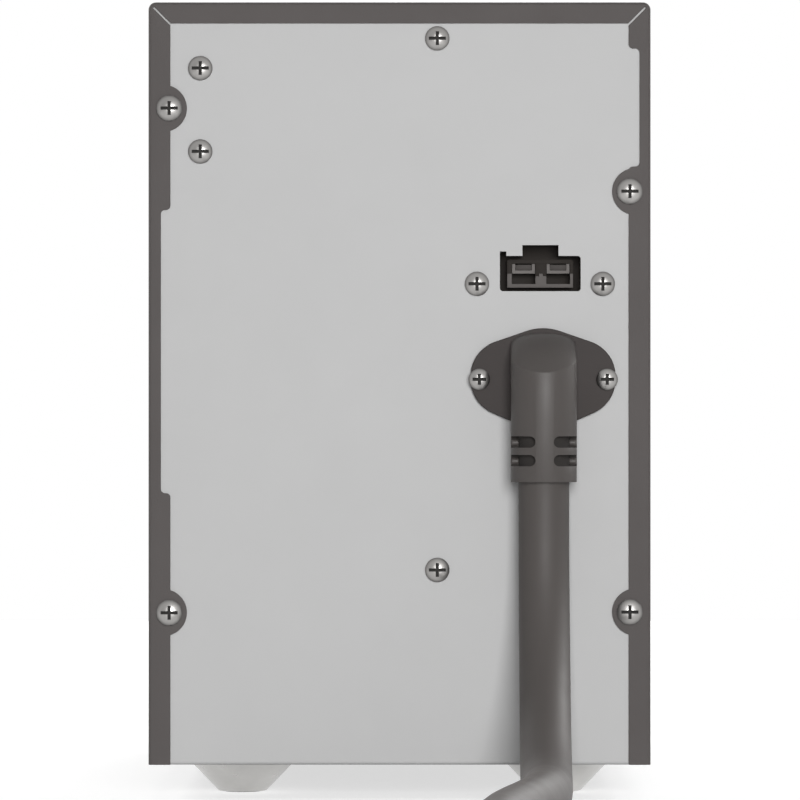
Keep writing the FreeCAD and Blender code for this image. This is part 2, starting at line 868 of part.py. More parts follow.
# Feet
def foot(x, y):
    """A cone with a screw bore and a recess for its pad."""
    cone = flat_sided(foot_bottom_radius, foot_top_radius, V(x, y, pad_proud), Z_AXIS, base_z - pad_proud,
                      foot_sides)
    recess = pad_radius + pad_side_gap
    bore = flat_sided(recess, recess, V(x, y, 0), Z_AXIS, foot_bore_top, pad_sides)
    return cone.cut(bore).cut(upright_hole(x, y, foot_bore_top, base_z - foot_bore_top))


def foot_pad(x, y):
    """The rubber disc under a foot."""
    return flat_sided(pad_radius, pad_radius, V(x, y, 0), Z_AXIS, pad_thick, pad_sides)


def foot_screw(x, y):
    """The screw that holds a foot from below."""
    seat = V(x, y, foot_bore_top)
    return screw(seat, Z_AXIS, foot_screw_head, head_height, floor_z - foot_bore_top, hex_sides)


# Batteries
def stack_low(stack):
    """The height of the lowest battery's underside in a stack."""
    layer = battery_width + battery_gap
    first = floor_z + seat_gap + insulation + seat_gap
    between = shelf_gap + shelf_sheet + shelf_gap
    return first + stack * (layers_per_stack * layer - battery_gap + between)


def stack_high(stack):
    """The height of the highest battery's upper side in a stack."""
    return stack_low(stack) + layers_per_stack * (battery_width + battery_gap) - battery_gap


def row_rear(row):
    """The rear end of a battery row."""
    return service_depth + row * (battery_length + battery_gap)


def battery_places():
    """Every battery as (side, rear end, underside), from the bottom up."""
    places = []
    for stack in range(battery_stacks):
        for layer in range(layers_per_stack):
            low = stack_low(stack) + layer * (battery_width + battery_gap)
            for row in range(battery_rows):
                for hand in (-1, 1):
                    places.append((hand, row_rear(row), low))
    return places


def battery(hand, rear, low):
    """A sealed battery on its side, with its terminals towards the side of the cabinet."""
    waist = battery_waist
    lid_start = battery_height - battery_lid
    case = block(0, lid_start, waist, battery_length - waist, waist, battery_width - waist)
    lid = block(lid_start, battery_height, 0, battery_length, 0, battery_width)
    parts = [case, lid]
    post = terminal_post / 2
    for y in (terminal_inset, battery_length - terminal_inset):
        z = terminal_inset
        post_top = battery_height + terminal_post_height
        parts.append(block(battery_height, post_top, y - post, y + post, z - post, z + post))
        blade = blade_width / 2
        parts.append(block(post_top, post_top + blade_height, y - blade, y + blade, z, z + blade_sheet))
    solid = fuse_all(parts)
    if hand < 0:
        solid.rotate(V(0, battery_length / 2, 0), Z_AXIS, 180)
    solid.translate(V(hand * centre_gap / 2, rear, low))
    return solid


def link(hand, start, end):
    """A flat copper link on two terminal tips, given as (y, z)."""
    face = terminal_tip + seat_gap
    x0 = hand * face
    x1 = hand * (face + link_sheet)
    half = strap_width / 2
    y0 = min(start[0], end[0]) - half
    y1 = max(start[0], end[0]) + half
    z0 = min(start[1], end[1]) - half
    z1 = max(start[1], end[1]) + half
    return block(min(x0, x1), max(x0, x1), y0, y1, z0, z1)


def battery_links():
    """The links that put each side's batteries in series."""
    levels = []
    for stack in range(battery_stacks):
        for layer in range(layers_per_stack):
            levels.append(stack_low(stack) + layer * (battery_width + battery_gap) + terminal_inset)
    rear_end = row_rear(0) + terminal_inset
    inner_rear = row_rear(0) + battery_length - terminal_inset
    inner_front = row_rear(1) + terminal_inset
    front_end = row_rear(1) + battery_length - terminal_inset
    links = []
    for hand in (-1, 1):
        for level in levels:
            links.append(link(hand, (inner_rear, level), (inner_front, level)))
        for index in range(len(levels) - 1):
            y = front_end if index % 2 == 0 else rear_end
            links.append(link(hand, (y, levels[index]), (y, levels[index + 1])))
    return group(links)


def insulating_sheet():
    """A plain sheet between the base and the batteries."""
    half = centre_gap / 2 + battery_height
    low = floor_z + seat_gap
    return block(-half, half, service_depth, rows_end, low, low + insulation)


# Shelf and hold-down
def leg_spans():
    """The stretches along Y where the shelf has legs, at the middle of each battery row."""
    spans = []
    for row in range(battery_rows):
        middle = row_rear(row) + battery_length / 2
        spans.append((middle - leg_width / 2, middle + leg_width / 2))
    return spans


def leg_face():
    """The inner face of a leg, beside the batteries."""
    return centre_gap / 2 + battery_height + shelf_gap


def shelf_screw_places():
    """The screws through the base into the shelf's feet, as (x, y)."""
    x = leg_face() + shelf_sheet + leg_foot / 2
    return [(hand * x, (y0 + y1) / 2) for y0, y1 in leg_spans() for hand in (-1, 1)]


def hold_screw_places():
    """The screws through the hold-down's legs into the shelf's legs, as (side, y, z)."""
    z = shelf_under() - hold_overlap / 2
    return [(hand, (y0 + y1) / 2, z) for y0, y1 in leg_spans() for hand in (-1, 1)]


def shelf_under():
    """The height of the shelf plate's underside."""
    return stack_high(0) + shelf_gap


def carrier(plate_low, inner, leg_low):
    """A plate with four legs folded down beside the batteries."""
    outer = inner + shelf_sheet
    top = plate_low + shelf_sheet
    end = rows_end
    solid = block(-outer, outer, service_depth, end, leg_low, top)
    solid = round_edges(solid, shelf_bend, Y_AXIS, lambda m: m.z > top - beyond)
    hollow = block(-inner, inner, service_depth - beyond, end + beyond, leg_low - beyond, plate_low)
    solid = solid.cut(hollow)
    edges = [service_depth - beyond]
    for y0, y1 in leg_spans():
        edges += [y0, y1]
    edges.append(end + beyond)
    gap_top = plate_low
    for y0, y1 in zip(edges[0::2], edges[1::2]):
        solid = solid.cut(block(-outer - beyond, outer + beyond, y0, y1, leg_low - beyond, gap_top))
        for hand in (-1, 1):
            x0 = min(hand * inner, hand * (outer + beyond))
            x1 = max(hand * inner, hand * (outer + beyond))
            solid = solid.cut(block(x0, x1, y0, y1, leg_low - beyond, top + beyond))
    return solid


def battery_shelf():
    """The shelf over the lower stack, on four legs with turned-out feet."""
    inner = leg_face()
    low = floor_z + seat_gap
    shelf = carrier(shelf_under(), inner, low)
    for y0, y1 in leg_spans():
        for hand in (-1, 1):
            x0 = hand * inner
            x1 = hand * (inner + shelf_sheet + leg_foot)
            toe = block(min(x0, x1), max(x0, x1), y0, y1, low, low + shelf_sheet)
            shelf = shelf.fuse(toe)
    shelf = shelf.removeSplitter()
    for x, y in shelf_screw_places():
        shelf = shelf.cut(upright_hole(x, y, low, shelf_sheet))
    return cut_all(shelf, hold_screw_bores())


def hold_screw_bores():
    """The cross bores for the hold-down's screws."""
    bores = []
    reach = 2 * shelf_sheet + 2 * beyond + seat_gap
    for hand, y, z in hold_screw_places():
        start = V(hand * (leg_face() - beyond), y, z)
        bores.append(screw_bore(start, X_AXIS * hand, reach))
    return bores


def battery_hold_down():
    """The plate over the upper stack, screwed to the shelf's legs."""
    inner = leg_face() + shelf_sheet + seat_gap
    plate_low = stack_high(1) + shelf_gap
    plate = carrier(plate_low, inner, shelf_under() - hold_overlap)
    return cut_all(plate, hold_screw_bores())


def hold_screws():
    """The four screws that join the hold-down to the shelf."""
    screws = []
    face = leg_face() + 2 * shelf_sheet + seat_gap
    length = 2 * shelf_sheet + seat_gap - shelf_gap / 2
    for hand, y, z in hold_screw_places():
        seat = V(hand * face, y, z)
        screws.append(screw(seat, X_AXIS * -hand, strap_head, strap_head_height, length, hex_sides))
    return group(screws)


def shelf_screws():
    """The four screws through the base into the shelf's feet."""
    screws = []
    length = chassis_sheet + seat_gap + shelf_sheet + seat_gap
    for x, y in shelf_screw_places():
        screws.append(screw(V(x, y, base_z), Z_AXIS, strap_head, strap_head_height, length, hex_sides))
    return group(screws)


# Brackets in the service space
def battery_stop():
    """An upright channel between the rear panel and the batteries' ends."""
    rear = panel_inner
    front = service_depth - seat_gap
    x0 = stop_screw_x - stop_width / 2
    x1 = x0 + stop_width
    low = stop_screw_heights[1] + stop_tab / 2
    high = stop_screw_heights[0] - stop_tab / 2
    sheet = chassis_sheet
    channel = block(x0, x1, rear, front, low, high)
    channel = round_edges(channel, panel_fold, X_AXIS, lambda m: m.y > front - beyond)
    hollow = block(x0 - beyond, x1 + beyond, rear - beyond, front - sheet, low + sheet, high - sheet)
    channel = channel.cut(hollow)
    lower = block(x0, x1, rear, rear + sheet, low - stop_tab, low + sheet)
    upper = block(x0, x1, rear, rear + sheet, high - sheet, high + stop_tab)
    bracket = fuse_all([channel, lower, upper])
    holes = [screw_hole(stop_screw_x, z, rear - beyond, rear + sheet + beyond) for z in stop_screw_heights]
    return cut_all(bracket, holes)


def fuse_bracket():
    """An angle on the rear panel that carries the fuse block."""
    rear = panel_inner
    sheet = chassis_sheet
    x0 = fuse_screw_x - fuse_tab_width / 2
    x1 = x0 + fuse_tab_width
    low = fuse_screw_heights[1] - fuse_margin
    high = fuse_screw_heights[0] + fuse_margin
    angle = block(x0, x1, rear, rear + fuse_bracket_reach, low, high)
    angle = round_edges(angle, panel_fold, Z_AXIS, lambda m: m.x > x1 - beyond and m.y < rear + beyond)
    hollow = block(x0 - beyond, x1 - sheet, rear + sheet, rear + fuse_bracket_reach + beyond, low - beyond,
                   high + beyond)
    angle = angle.cut(hollow)
    holes = [screw_hole(fuse_screw_x, z, rear - beyond, rear + sheet + beyond) for z in fuse_screw_heights]
    return cut_all(angle, holes)


def fuse_block_face():
    """The side of the fuse block that lies on its bracket."""
    return fuse_screw_x + fuse_tab_width / 2 + seat_gap


def fuse_centres():
    """The middles of the two fuses."""
    x = fuse_block_face() + fuse_block_thick + fuse_radius + fuse_clip_wall
    y = panel_inner + fuse_bracket_reach - fuse_block_depth / 2
    middle = (fuse_screw_heights[0] + fuse_screw_heights[1]) / 2
    return [V(x, y, middle - fuse_spacing / 2), V(x, y, middle + fuse_spacing / 2)]


def fuse_block():
    """The insulating block with two pairs of fuse clips."""
    x0 = fuse_block_face()
    centre = fuse_centres()[0]
    middle = (fuse_screw_heights[0] + fuse_screw_heights[1]) / 2
    y0 = centre.y - fuse_block_depth / 2
    z0 = middle - fuse_block_height / 2
    base = block(x0, x0 + fuse_block_thick, y0, y0 + fuse_block_depth, z0, z0 + fuse_block_height)
    pieces = [base]
    ring = fuse_radius + fuse_clip_wall
    for middle_point in fuse_centres():
        for shift in (-fuse_length / 2 + fuse_clip, fuse_length / 2 - fuse_clip):
            y = middle_point.y + shift - fuse_clip / 2
            saddle = block(x0 + fuse_block_thick - fuse_clip_wall, middle_point.x, y, y + fuse_clip,
                           middle_point.z - ring, middle_point.z + ring)
            pieces.append(saddle)
    body = fuse_all(pieces)
    bores = []
    for middle_point in fuse_centres():
        start = V(middle_point.x, y0 - beyond, middle_point.z)
        bore = fuse_radius + seat_gap
        bores.append(flat_sided(bore, bore, start, Y_AXIS, fuse_block_depth + 2 * beyond, fuse_sides))
    return cut_all(body, bores)


def fuses():
    """The two cartridge fuses."""
    solids = []
    for centre in fuse_centres():
        start = V(centre.x, centre.y - fuse_length / 2, centre.z)
        solids.append(flat_sided(fuse_radius, fuse_radius, start, Y_AXIS, fuse_length, fuse_sides))
    return group(solids)


# Front plate and bezel
def front_screw_places():
    """The screws through the base into the front plate's lower flange, as (x, y)."""
    y = steel_depth - front_flange / 2
    return [(-hook_x / 2, y), (hook_x / 2, y)]


def front_plate():
    """The chassis's front wall, a tray with its flanges turned back."""
    low = floor_z + seat_gap
    sheet = front_sheet
    back = steel_depth - front_flange
    tray = block(-chassis_half, chassis_half, back, steel_depth, low, panel_top)
    tray = tray.common(cover_space())
    tray = round_edges(tray, panel_fold, X_AXIS, lambda m: m.y > steel_depth - beyond and m.z < low + beyond)
    hollow = block(-chassis_half + sheet, chassis_half - sheet, back - beyond, steel_depth - sheet, low + sheet,
                   panel_top - sheet)
    tray = tray.cut(hollow)
    tools = []
    for hand in (-1, 1):
        for height in hook_heights:
            x0 = hand * hook_x - hook_width / 2 - slot_gap
            x1 = x0 + hook_width + 2 * slot_gap
            z0 = height - slot_gap
            z1 = height + hook_sheet + hook_barb + slot_gap
            tools.append(block(x0, x1, back, steel_depth + beyond, z0, z1))
    for x, y in front_screw_places():
        tools.append(upright_hole(x, y, low, sheet))
    return cut_all(tray, tools)


def front_screws():
    """The two screws through the base into the front plate."""
    length = chassis_sheet + seat_gap + front_sheet + seat_gap
    screws = []
    for x, y in front_screw_places():
        screws.append(screw(V(x, y, base_z), Z_AXIS, strap_head, strap_head_height, length, hex_sides))
    return group(screws)


def foam_pad():
    """The foam strip between the batteries and the front plate."""
    rear = rows_end + cover_gap
    half = hook_x - hook_width / 2 - cover_gap
    low = floor_z + front_flange
    return block(-half, half, rear, rear + foam_thick, low, stack_high(1) - battery_waist)


def bezel_block(inset):
    """The bezel's outline, bowed in plan, smaller all round by a given amount."""
    half = half_width - inset
    front = front_y - inset
    rear = steel_depth + seat_gap
    low = base_z + inset
    high = top_z - inset
    corner = front - bezel_bow
    edges = [
        line(V(-half, rear, low), V(half, rear, low)),
        line(V(half, rear, low), V(half, corner, low)),
        arc(V(half, corner, low), V(0, front, low), V(-half, corner, low)),
        line(V(-half, corner, low), V(-half, rear, low)),
    ]
    return prism(edges, V(0, 0, high - low))


def bezel_hook(x, height):
    """A snap hook behind the bezel, with its barb on top."""
    root = front_y - bezel_bow + beyond
    tip = steel_depth - front_sheet - hook_reach
    arm = block(x - hook_width / 2, x + hook_width / 2, tip, root, height, height + hook_sheet)
    catch = steel_depth - front_sheet - seat_gap
    x0 = x - hook_width / 2
    top = height + hook_sheet
    corner = V(x0, tip, top)
    barb_top = V(x0, catch, top + hook_barb)
    barb_foot = V(x0, catch, top)
    barb = prism([line(corner, barb_top), line(barb_top, barb_foot), line(barb_foot, corner)],
                 V(hook_width, 0, 0))
    return arm.fuse(barb)


def front_bezel():
    """The moulded front: a bowed shell with grooves, a blank field and snap hooks."""
    outer = bezel_block(0)
    rim = [e for e in outer.Edges if e.CenterOfMass.y > front_y - bezel_bow - seat_gap]
    outer = outer.makeFillet(bezel_round, rim)
    inner = bezel_block(bezel_wall)
    inner = inner.fuse(block(-half_width + bezel_wall, half_width - bezel_wall, steel_depth - beyond,
                             steel_depth + 2 * beyond, base_z + bezel_wall, top_z - bezel_wall))
    shell = outer.cut(inner)
    skin = outer.cut(bezel_block(bezel_groove_depth))
    low = base_z + bezel_groove_margin
    high = top_z - bezel_groove_margin
    tools = []
    half = bezel_groove_width / 2
    bow_back = front_y - bezel_bow - bezel_round
    for hand in (-1, 1):
        x = hand * bezel_groove_x
        tools.append(block(x - half, x + half, bow_back, front_y, low, high))
    span = bezel_groove_x - bezel_groove_margin
    for index in range(bezel_rail_count):
        z0 = bezel_rail_low + index * bezel_rail_pitch
        tools.append(block(-span, span, bow_back, front_y, z0, z0 + bezel_rail_width))
    field = block(-blank_width / 2, blank_width / 2, bow_back, front_y, blank_low, blank_low + blank_height)
    tools.append(round_edges(field, bezel_round, Y_AXIS))
    shell = cut_all(shell, [tool.common(skin) for tool in tools])
    for hand in (-1, 1):
        for height in hook_heights:
            shell = shell.fuse(bezel_hook(hand * hook_x, height))
    return shell.removeSplitter()


def save(node, shape):
    """Move a piece to the part's own origin and write it."""
    moved = shape.copy()
    moved.translate(V(0, -centre_y, 0))
    for solid in moved.Solids:
        if not solid.isValid():
            print("not valid:", node)
    print("%-24s solids %2d  volume %10.1f" % (node, len(moved.Solids), moved.Volume))
    moved.exportStep(os.path.join("parts", node + ".step"))


def main():
    """Build and write every piece."""
    os.makedirs("parts", exist_ok=True)
    save("wrap_cover", wrap_cover())
    save("chassis_pan", chassis_pan())
    save("front_plate", front_plate())
    save("front_bezel", front_bezel())
    save("socket_housing", socket_body())
    left, right = contact_centres()
    save("socket_contact_left", socket_contact(left))
    save("socket_contact_right", socket_contact(right))
    save("socket_bracket", socket_bracket())
    save("cable_elbow", cable_elbow())
    cable, length, radii = tube(cable_route, cable_radius)
    save("battery_cable", cable)
    section = math.pi * cable_radius ** 2
    print("cable length %.1f, volume / (section x length) %.5f" % (length, cable.Volume / (section * length)))
    print("cable bend radii in diameters:", ["%.1f" % (radius / cable_diameter) for radius in radii])
    save("plug_boot", plug_boot())
    save("plug_housing", plug_shell())
    save("plug_blade_left", plug_blade(left))
    save("plug_blade_right", plug_blade(right))
    for name, x, y in foot_places():
        save("foot_" + name, foot(x, y))
        save("foot_pad_" + name, foot_pad(x, y))
    save("foot_screws", group([foot_screw(x, y) for name, x, y in foot_places()]))
    for number, place in enumerate(battery_places(), 1):
        save("battery_%02d" % number, battery(*place))
    save("battery_links", battery_links())
    save("insulating_sheet", insulating_sheet())
    save("battery_shelf", battery_shelf())
    save("battery_hold_down", battery_hold_down())
    save("battery_stop", battery_stop())
    save("fuse_bracket", fuse_bracket())
    save("fuse_block", fuse_block())
    save("fuses", fuses())
    save("foam_pad", foam_pad())
    save("cover_screws", panel_screws(cover_screw_places(), cover_head, cover_rear))
    bracket_places = fuse_screw_places() + stop_screw_places() + socket_screw_places()
    save("panel_screws", panel_screws(bracket_places, panel_head, 0))
    save("entry_screws", panel_screws(entry_screw_places(), elbow_head, entry_face))
    save("shelf_screws", shelf_screws())
    save("hold_down_screws", hold_screws())
    save("front_plate_screws", front_screws())


main()
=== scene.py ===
import logging
import math
from dataclasses import dataclass
from enum import Enum
from typing import Callable, Iterable, Optional, Sequence, Union

import bmesh
import bpy
from mathutils import Matrix, Vector


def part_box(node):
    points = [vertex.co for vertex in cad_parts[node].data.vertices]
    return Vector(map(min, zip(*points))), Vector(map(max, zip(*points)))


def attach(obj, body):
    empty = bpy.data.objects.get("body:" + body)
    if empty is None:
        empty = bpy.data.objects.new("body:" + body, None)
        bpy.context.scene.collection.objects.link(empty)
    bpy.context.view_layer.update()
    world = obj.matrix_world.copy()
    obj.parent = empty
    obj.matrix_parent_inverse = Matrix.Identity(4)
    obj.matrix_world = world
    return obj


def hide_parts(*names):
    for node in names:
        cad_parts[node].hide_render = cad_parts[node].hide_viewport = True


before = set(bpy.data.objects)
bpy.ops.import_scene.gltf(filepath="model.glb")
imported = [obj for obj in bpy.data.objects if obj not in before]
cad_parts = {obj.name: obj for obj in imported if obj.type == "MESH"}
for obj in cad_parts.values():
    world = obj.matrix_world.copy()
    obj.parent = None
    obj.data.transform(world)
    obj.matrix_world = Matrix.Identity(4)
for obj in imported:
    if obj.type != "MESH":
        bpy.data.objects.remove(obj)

Piece = bpy.types.Object
Wire = bpy.types.NodeSocket
Feed = Union[Wire, float, tuple[float, ...]]
Pair = tuple[float, float]
Test = Callable[[Vector, Vector], bool]

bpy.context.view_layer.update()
PANEL_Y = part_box("chassis_pan")[0].y
BODY = "root"
SIDES = {"left": -1, "right": 1}
HANDS = tuple(SIDES.values())

BEYOND = 0.002  # How far a tool reaches past what it cuts.
CLEAR = 0.0001  # The gap between two fitted shapes.
NEAR = 1e-5  # How close counts as in place.
ALONG = 0.99  # The least part of a direction that runs along an axis.

log = logging.getLogger("battery_cabinet")


def at(x: float, y: float, z: float) -> Vector:
    """Place a point by its distance from the rear panel's outer face.

    Args:
        x: Distance to the right, as the back is seen.
        y: Distance in front of the panel's outer face, towards the bezel.
        z: Height above the floor.

    Returns:
        The point in the part's own frame.
    """
    return Vector((x, PANEL_Y + y, z))


def everything(middle: Vector, way: Vector) -> bool:
    """Pass every point, edge and face."""
    return True


def runs_through(middle: Vector, way: Vector) -> bool:
    """Pass what runs or faces from the viewer to the front."""
    return abs(way.y) > ALONG


def on_level(height: float) -> Test:
    """Make a test that passes what lies at one height."""
    return lambda middle, way: abs(middle.z - height) < NEAR


class Heading(Enum):
    """Directions that round pieces and holes point in."""

    RIGHT = (1.0, 0.0, 0.0)
    FRONT = (0.0, 1.0, 0.0)
    UP = (0.0, 0.0, 1.0)

    @property
    def vector(self) -> Vector:
        """The direction as a vector."""
        return Vector(self.value)


class Bench:
    """The steps a piece is shaped with, in the order a modeller does them by hand."""

    @staticmethod
    def clear() -> None:
        """Leave edit mode and let go of everything."""
        if bpy.context.object is not None and bpy.context.object.mode != "OBJECT":
            bpy.ops.object.mode_set(mode="OBJECT")
        bpy.ops.object.select_all(action="DESELECT")

    @classmethod
    def hold(cls, piece: Piece) -> None:
        """Select one piece alone and make it the active one.

        Args:
            piece: The piece.
        """
        cls.clear()
        piece.select_set(True)
        bpy.context.view_layer.objects.active = piece

    @staticmethod
    def adopt(name: str) -> Piece:
        """Name the piece that was just added and settle its place in its mesh.

        Args:
            name: The piece's name.

        Returns:
            The piece.
        """
        piece = bpy.context.object
        piece.name = name
        piece.data.name = name
        bpy.ops.object.transform_apply(location=True, rotation=True, scale=True)
        return piece

    @classmethod
    def slab(cls, name: str, xs: Sequence[float], ys: Sequence[float], zs: Sequence[float],
             from_panel: bool = True) -> Piece:
        """Start a piece as a slab.

        Args:
            name: The piece's name.
            xs: Its two sides, in any order.
            ys: Its rear and its front, in any order.
            zs: Its underside and its top.
            from_panel: Whether ys are measured from the panel, not from the origin.

        Returns:
            The slab.
        """
        base = PANEL_Y if from_panel else 0.0
        low = Vector((min(xs), base + min(ys), min(zs)))
        high = Vector((max(xs), base + max(ys), max(zs)))
        cls.clear()
        bpy.ops.mesh.primitive_cube_add(size=1.0, location=(low + high) / 2, scale=high - low)
        return cls.adopt(name)

    @classmethod
    def round_bar(cls, name: str, start: Vector, heading: Heading, length: float, radius: float,
                  far_radius: Optional[float] = None, sides: int = 64) -> Piece:
        """Start a piece as a round bar or a cone.

        Args:
            name: The piece's name.
            start: The middle of its first end.
            heading: The direction it runs in.
            length: Its length.
            radius: Its radius at the start.
            far_radius: Its radius at the far end, where that differs.
            sides: The number of flats it is turned in.

        Returns:
            The bar.
        """
        cls.clear()
        turn = heading.vector.to_track_quat("Z", "Y").to_euler()
        middle = start + heading.vector * (length / 2)
        end_radius = radius if far_radius is None else far_radius
        bpy.ops.mesh.primitive_cone_add(vertices=sides, radius1=radius, radius2=end_radius, depth=length,
                                        location=middle, rotation=turn)
        return cls.adopt(name)

    @classmethod
    def ball(cls, name: str, middle: Vector, radius: float) -> Piece:
        """Start a piece as a ball with its poles to the front and back.

        Args:
            name: The piece's name.
            middle: Its middle.
            radius: Its radius.

        Returns:
            The ball.
        """
        cls.clear()
        bpy.ops.mesh.primitive_uv_sphere_add(segments=64, ring_count=64, radius=radius, location=middle,
                                             rotation=(math.radians(90), 0, 0))
        return cls.adopt(name)

    @classmethod
    def pick(cls, piece: Piece, kind: str, wanted: Test) -> bool:
        """Go into edit mode and select the parts of a mesh that pass a test.

        Args:
            piece: The piece to edit.
            kind: What is picked: VERT, EDGE or FACE.
            wanted: A test of a part's middle and its normal, or of an edge's middle and its direction.

        Returns:
            Whether anything was picked.
        """
        cls.hold(piece)
        bpy.ops.object.mode_set(mode="EDIT")
        bpy.ops.mesh.select_mode(type=kind)
        bpy.ops.mesh.select_all(action="DESELECT")
        mesh = bmesh.from_edit_mesh(piece.data)
        if kind == "VERT":
            facts = [(point, point.co, point.normal) for point in mesh.verts]
        elif kind == "EDGE":
            ends = [(edge, edge.verts[0].co, edge.verts[1].co) for edge in mesh.edges]
            facts = [(edge, (first + last) / 2, (last - first).normalized()) for edge, first, last in ends]
        else:
            facts = [(face, face.calc_center_median(), face.normal) for face in mesh.faces]
        chosen = [part for part, middle, way in facts if wanted(middle, way)]
        for part in chosen:
            part.select_set(True)
        if kind == "VERT":
            mesh.select_flush_mode()
        bmesh.update_edit_mesh(piece.data)
        return bool(chosen)

    @classmethod
    def round_edges(cls, piece: Piece, radius: float, steps: int, wanted: Test) -> None:
        """Round chosen edges.

        Args:
            piece: The piece to work on.
            radius: The radius of the round.
            steps: The number of flats in the round.
            wanted: A test of an edge's middle and its direction.
        """
        if cls.pick(piece, "EDGE", wanted):
            bpy.ops.mesh.bevel(offset=radius, segments=steps, affect="EDGES", clamp_overlap=True)
        cls.clear()

    @classmethod
    def apply(cls, piece: Piece, kind: str, **settings: object) -> None:
        """Put a modifier on a piece and apply it.

        Args:
            piece: The piece to work on.
            kind: The modifier's type.
            settings: The modifier's settings.
        """
        cls.hold(piece)
        step = piece.modifiers.new(kind.lower(), kind)
        for name, value in settings.items():
            setattr(step, name, value)
        bpy.ops.object.modifier_apply(modifier=step.name)

    @classmethod
    def soften(cls, piece: Piece, width: float, steps: int = 2, sharp: float = 40.0) -> Piece:
        """Break every sharp edge of a piece with a small round and shade it smooth.

        Args:
            piece: The piece to work on.
            width: The width of the broken edge.
            steps: The number of flats in it.
            sharp: The least angle, in degrees, of an edge that is broken.

        Returns:
            The piece.
        """
        cls.apply(piece, "BEVEL", width=width, segments=steps, limit_method="ANGLE",
                  angle_limit=math.radians(sharp), miter_outer="MITER_ARC", use_clamp_overlap=True)
        return cls.smooth(piece)

    @classmethod
    def smooth(cls, piece: Piece, sharp: float = 32.0) -> Piece:
        """Shade a piece smooth, apart from its sharp edges.

        Args:
            piece: The piece to shade.
            sharp: The least angle, in degrees, of an edge that stays sharp.

        Returns:
            The piece.
        """
        cls.hold(piece)
        bpy.ops.object.shade_smooth_by_angle(angle=math.radians(sharp))
        return piece

    @classmethod
    def combine(cls, piece: Piece, how: str, tools: Iterable[Piece]) -> Piece:
        """Cut, join or trim a piece with one tool after another, which are used up.

        Args:
            piece: The piece to work on.
            how: DIFFERENCE to cut, UNION to join or INTERSECT to trim.
            tools: The tools.

        Returns:
            The piece.
        """
        for tool in tools:
            cls.apply(piece, "BOOLEAN", object=tool, operation=how, solver="EXACT")
            bpy.data.objects.remove(tool, do_unlink=True)
        return piece

    @classmethod
    def cut(cls, piece: Piece, tools: Iterable[Piece]) -> Piece:
        """Cut a piece with one tool after another."""
        return cls.combine(piece, "DIFFERENCE", tools)

    @classmethod
    def join(cls, piece: Piece, others: Iterable[Piece]) -> Piece:
        """Join solids to a piece, one after another."""
        return cls.combine(piece, "UNION", others)

    @classmethod
    def group(cls, pieces: Sequence[Piece]) -> Piece:
        """Put loose parts together in one object.

        Args:
            pieces: The parts; the first gives the object its name.

        Returns:
            The object that holds them all.
        """
        cls.clear()
        for piece in pieces:
            piece.select_set(True)
        bpy.context.view_layer.objects.active = pieces[0]
        bpy.ops.object.join()
        return pieces[0]

    @classmethod
    def wrap(cls, pieces: Sequence[Piece]) -> Piece:
        """Stretch one skin round several parts.

        Args:
            pieces: The parts; the first gives the object its name.

        Returns:
            The solid inside the skin.
        """
        piece = cls.group(pieces)
        cls.pick(piece, "VERT", everything)
        bpy.ops.mesh.convex_hull()
        bpy.ops.mesh.select_all(action="SELECT")
        bpy.ops.mesh.dissolve_limited(angle_limit=math.radians(0.5))
        cls.clear()
        return piece

    @staticmethod
    def copy(piece: Piece, name: str, shift: Vector) -> Piece:
        """Copy a piece with a mesh of its own and settle the copy in a new place.

        Args:
            piece: The piece to copy.
            name: The copy's name.
            shift: How far the copy is moved.

        Returns:
            The copy.
        """
        double = piece.copy()
        double.data = piece.data.copy()
        double.name = name
        double.data.name = name
        bpy.context.collection.objects.link(double)
        double.data.transform(Matrix.Translation(shift))
        return double

    @staticmethod
    def mark(piece: Piece, name: str, over: str, values: Iterable[float]) -> None:
        """Write a mark on each point or face of a piece, for its finish to read.

        Args:
            piece: The piece to mark.
            name: The mark's name.
            over: POINT or FACE.
            values: The mark of each, in order.
        """
        for entry, value in zip(piece.data.attributes.new(name, "FLOAT", over).data, values):
            entry.value = value


def linear(shade: Sequence[int]) -> tuple[float, float, float, float]:
    """Turn a display colour into the linear one that shaders take.

    Args:
        shade: Red, green and blue from 0 to 255.

    Returns:
        The linear colour with an alpha of 1.
    """
    shares = [part / 255 for part in shade]
    red, green, blue = (s / 12.92 if s <= 0.04045 else ((s + 0.055) / 1.055) ** 2.4 for s in shares)
    return (red, green, blue, 1.0)


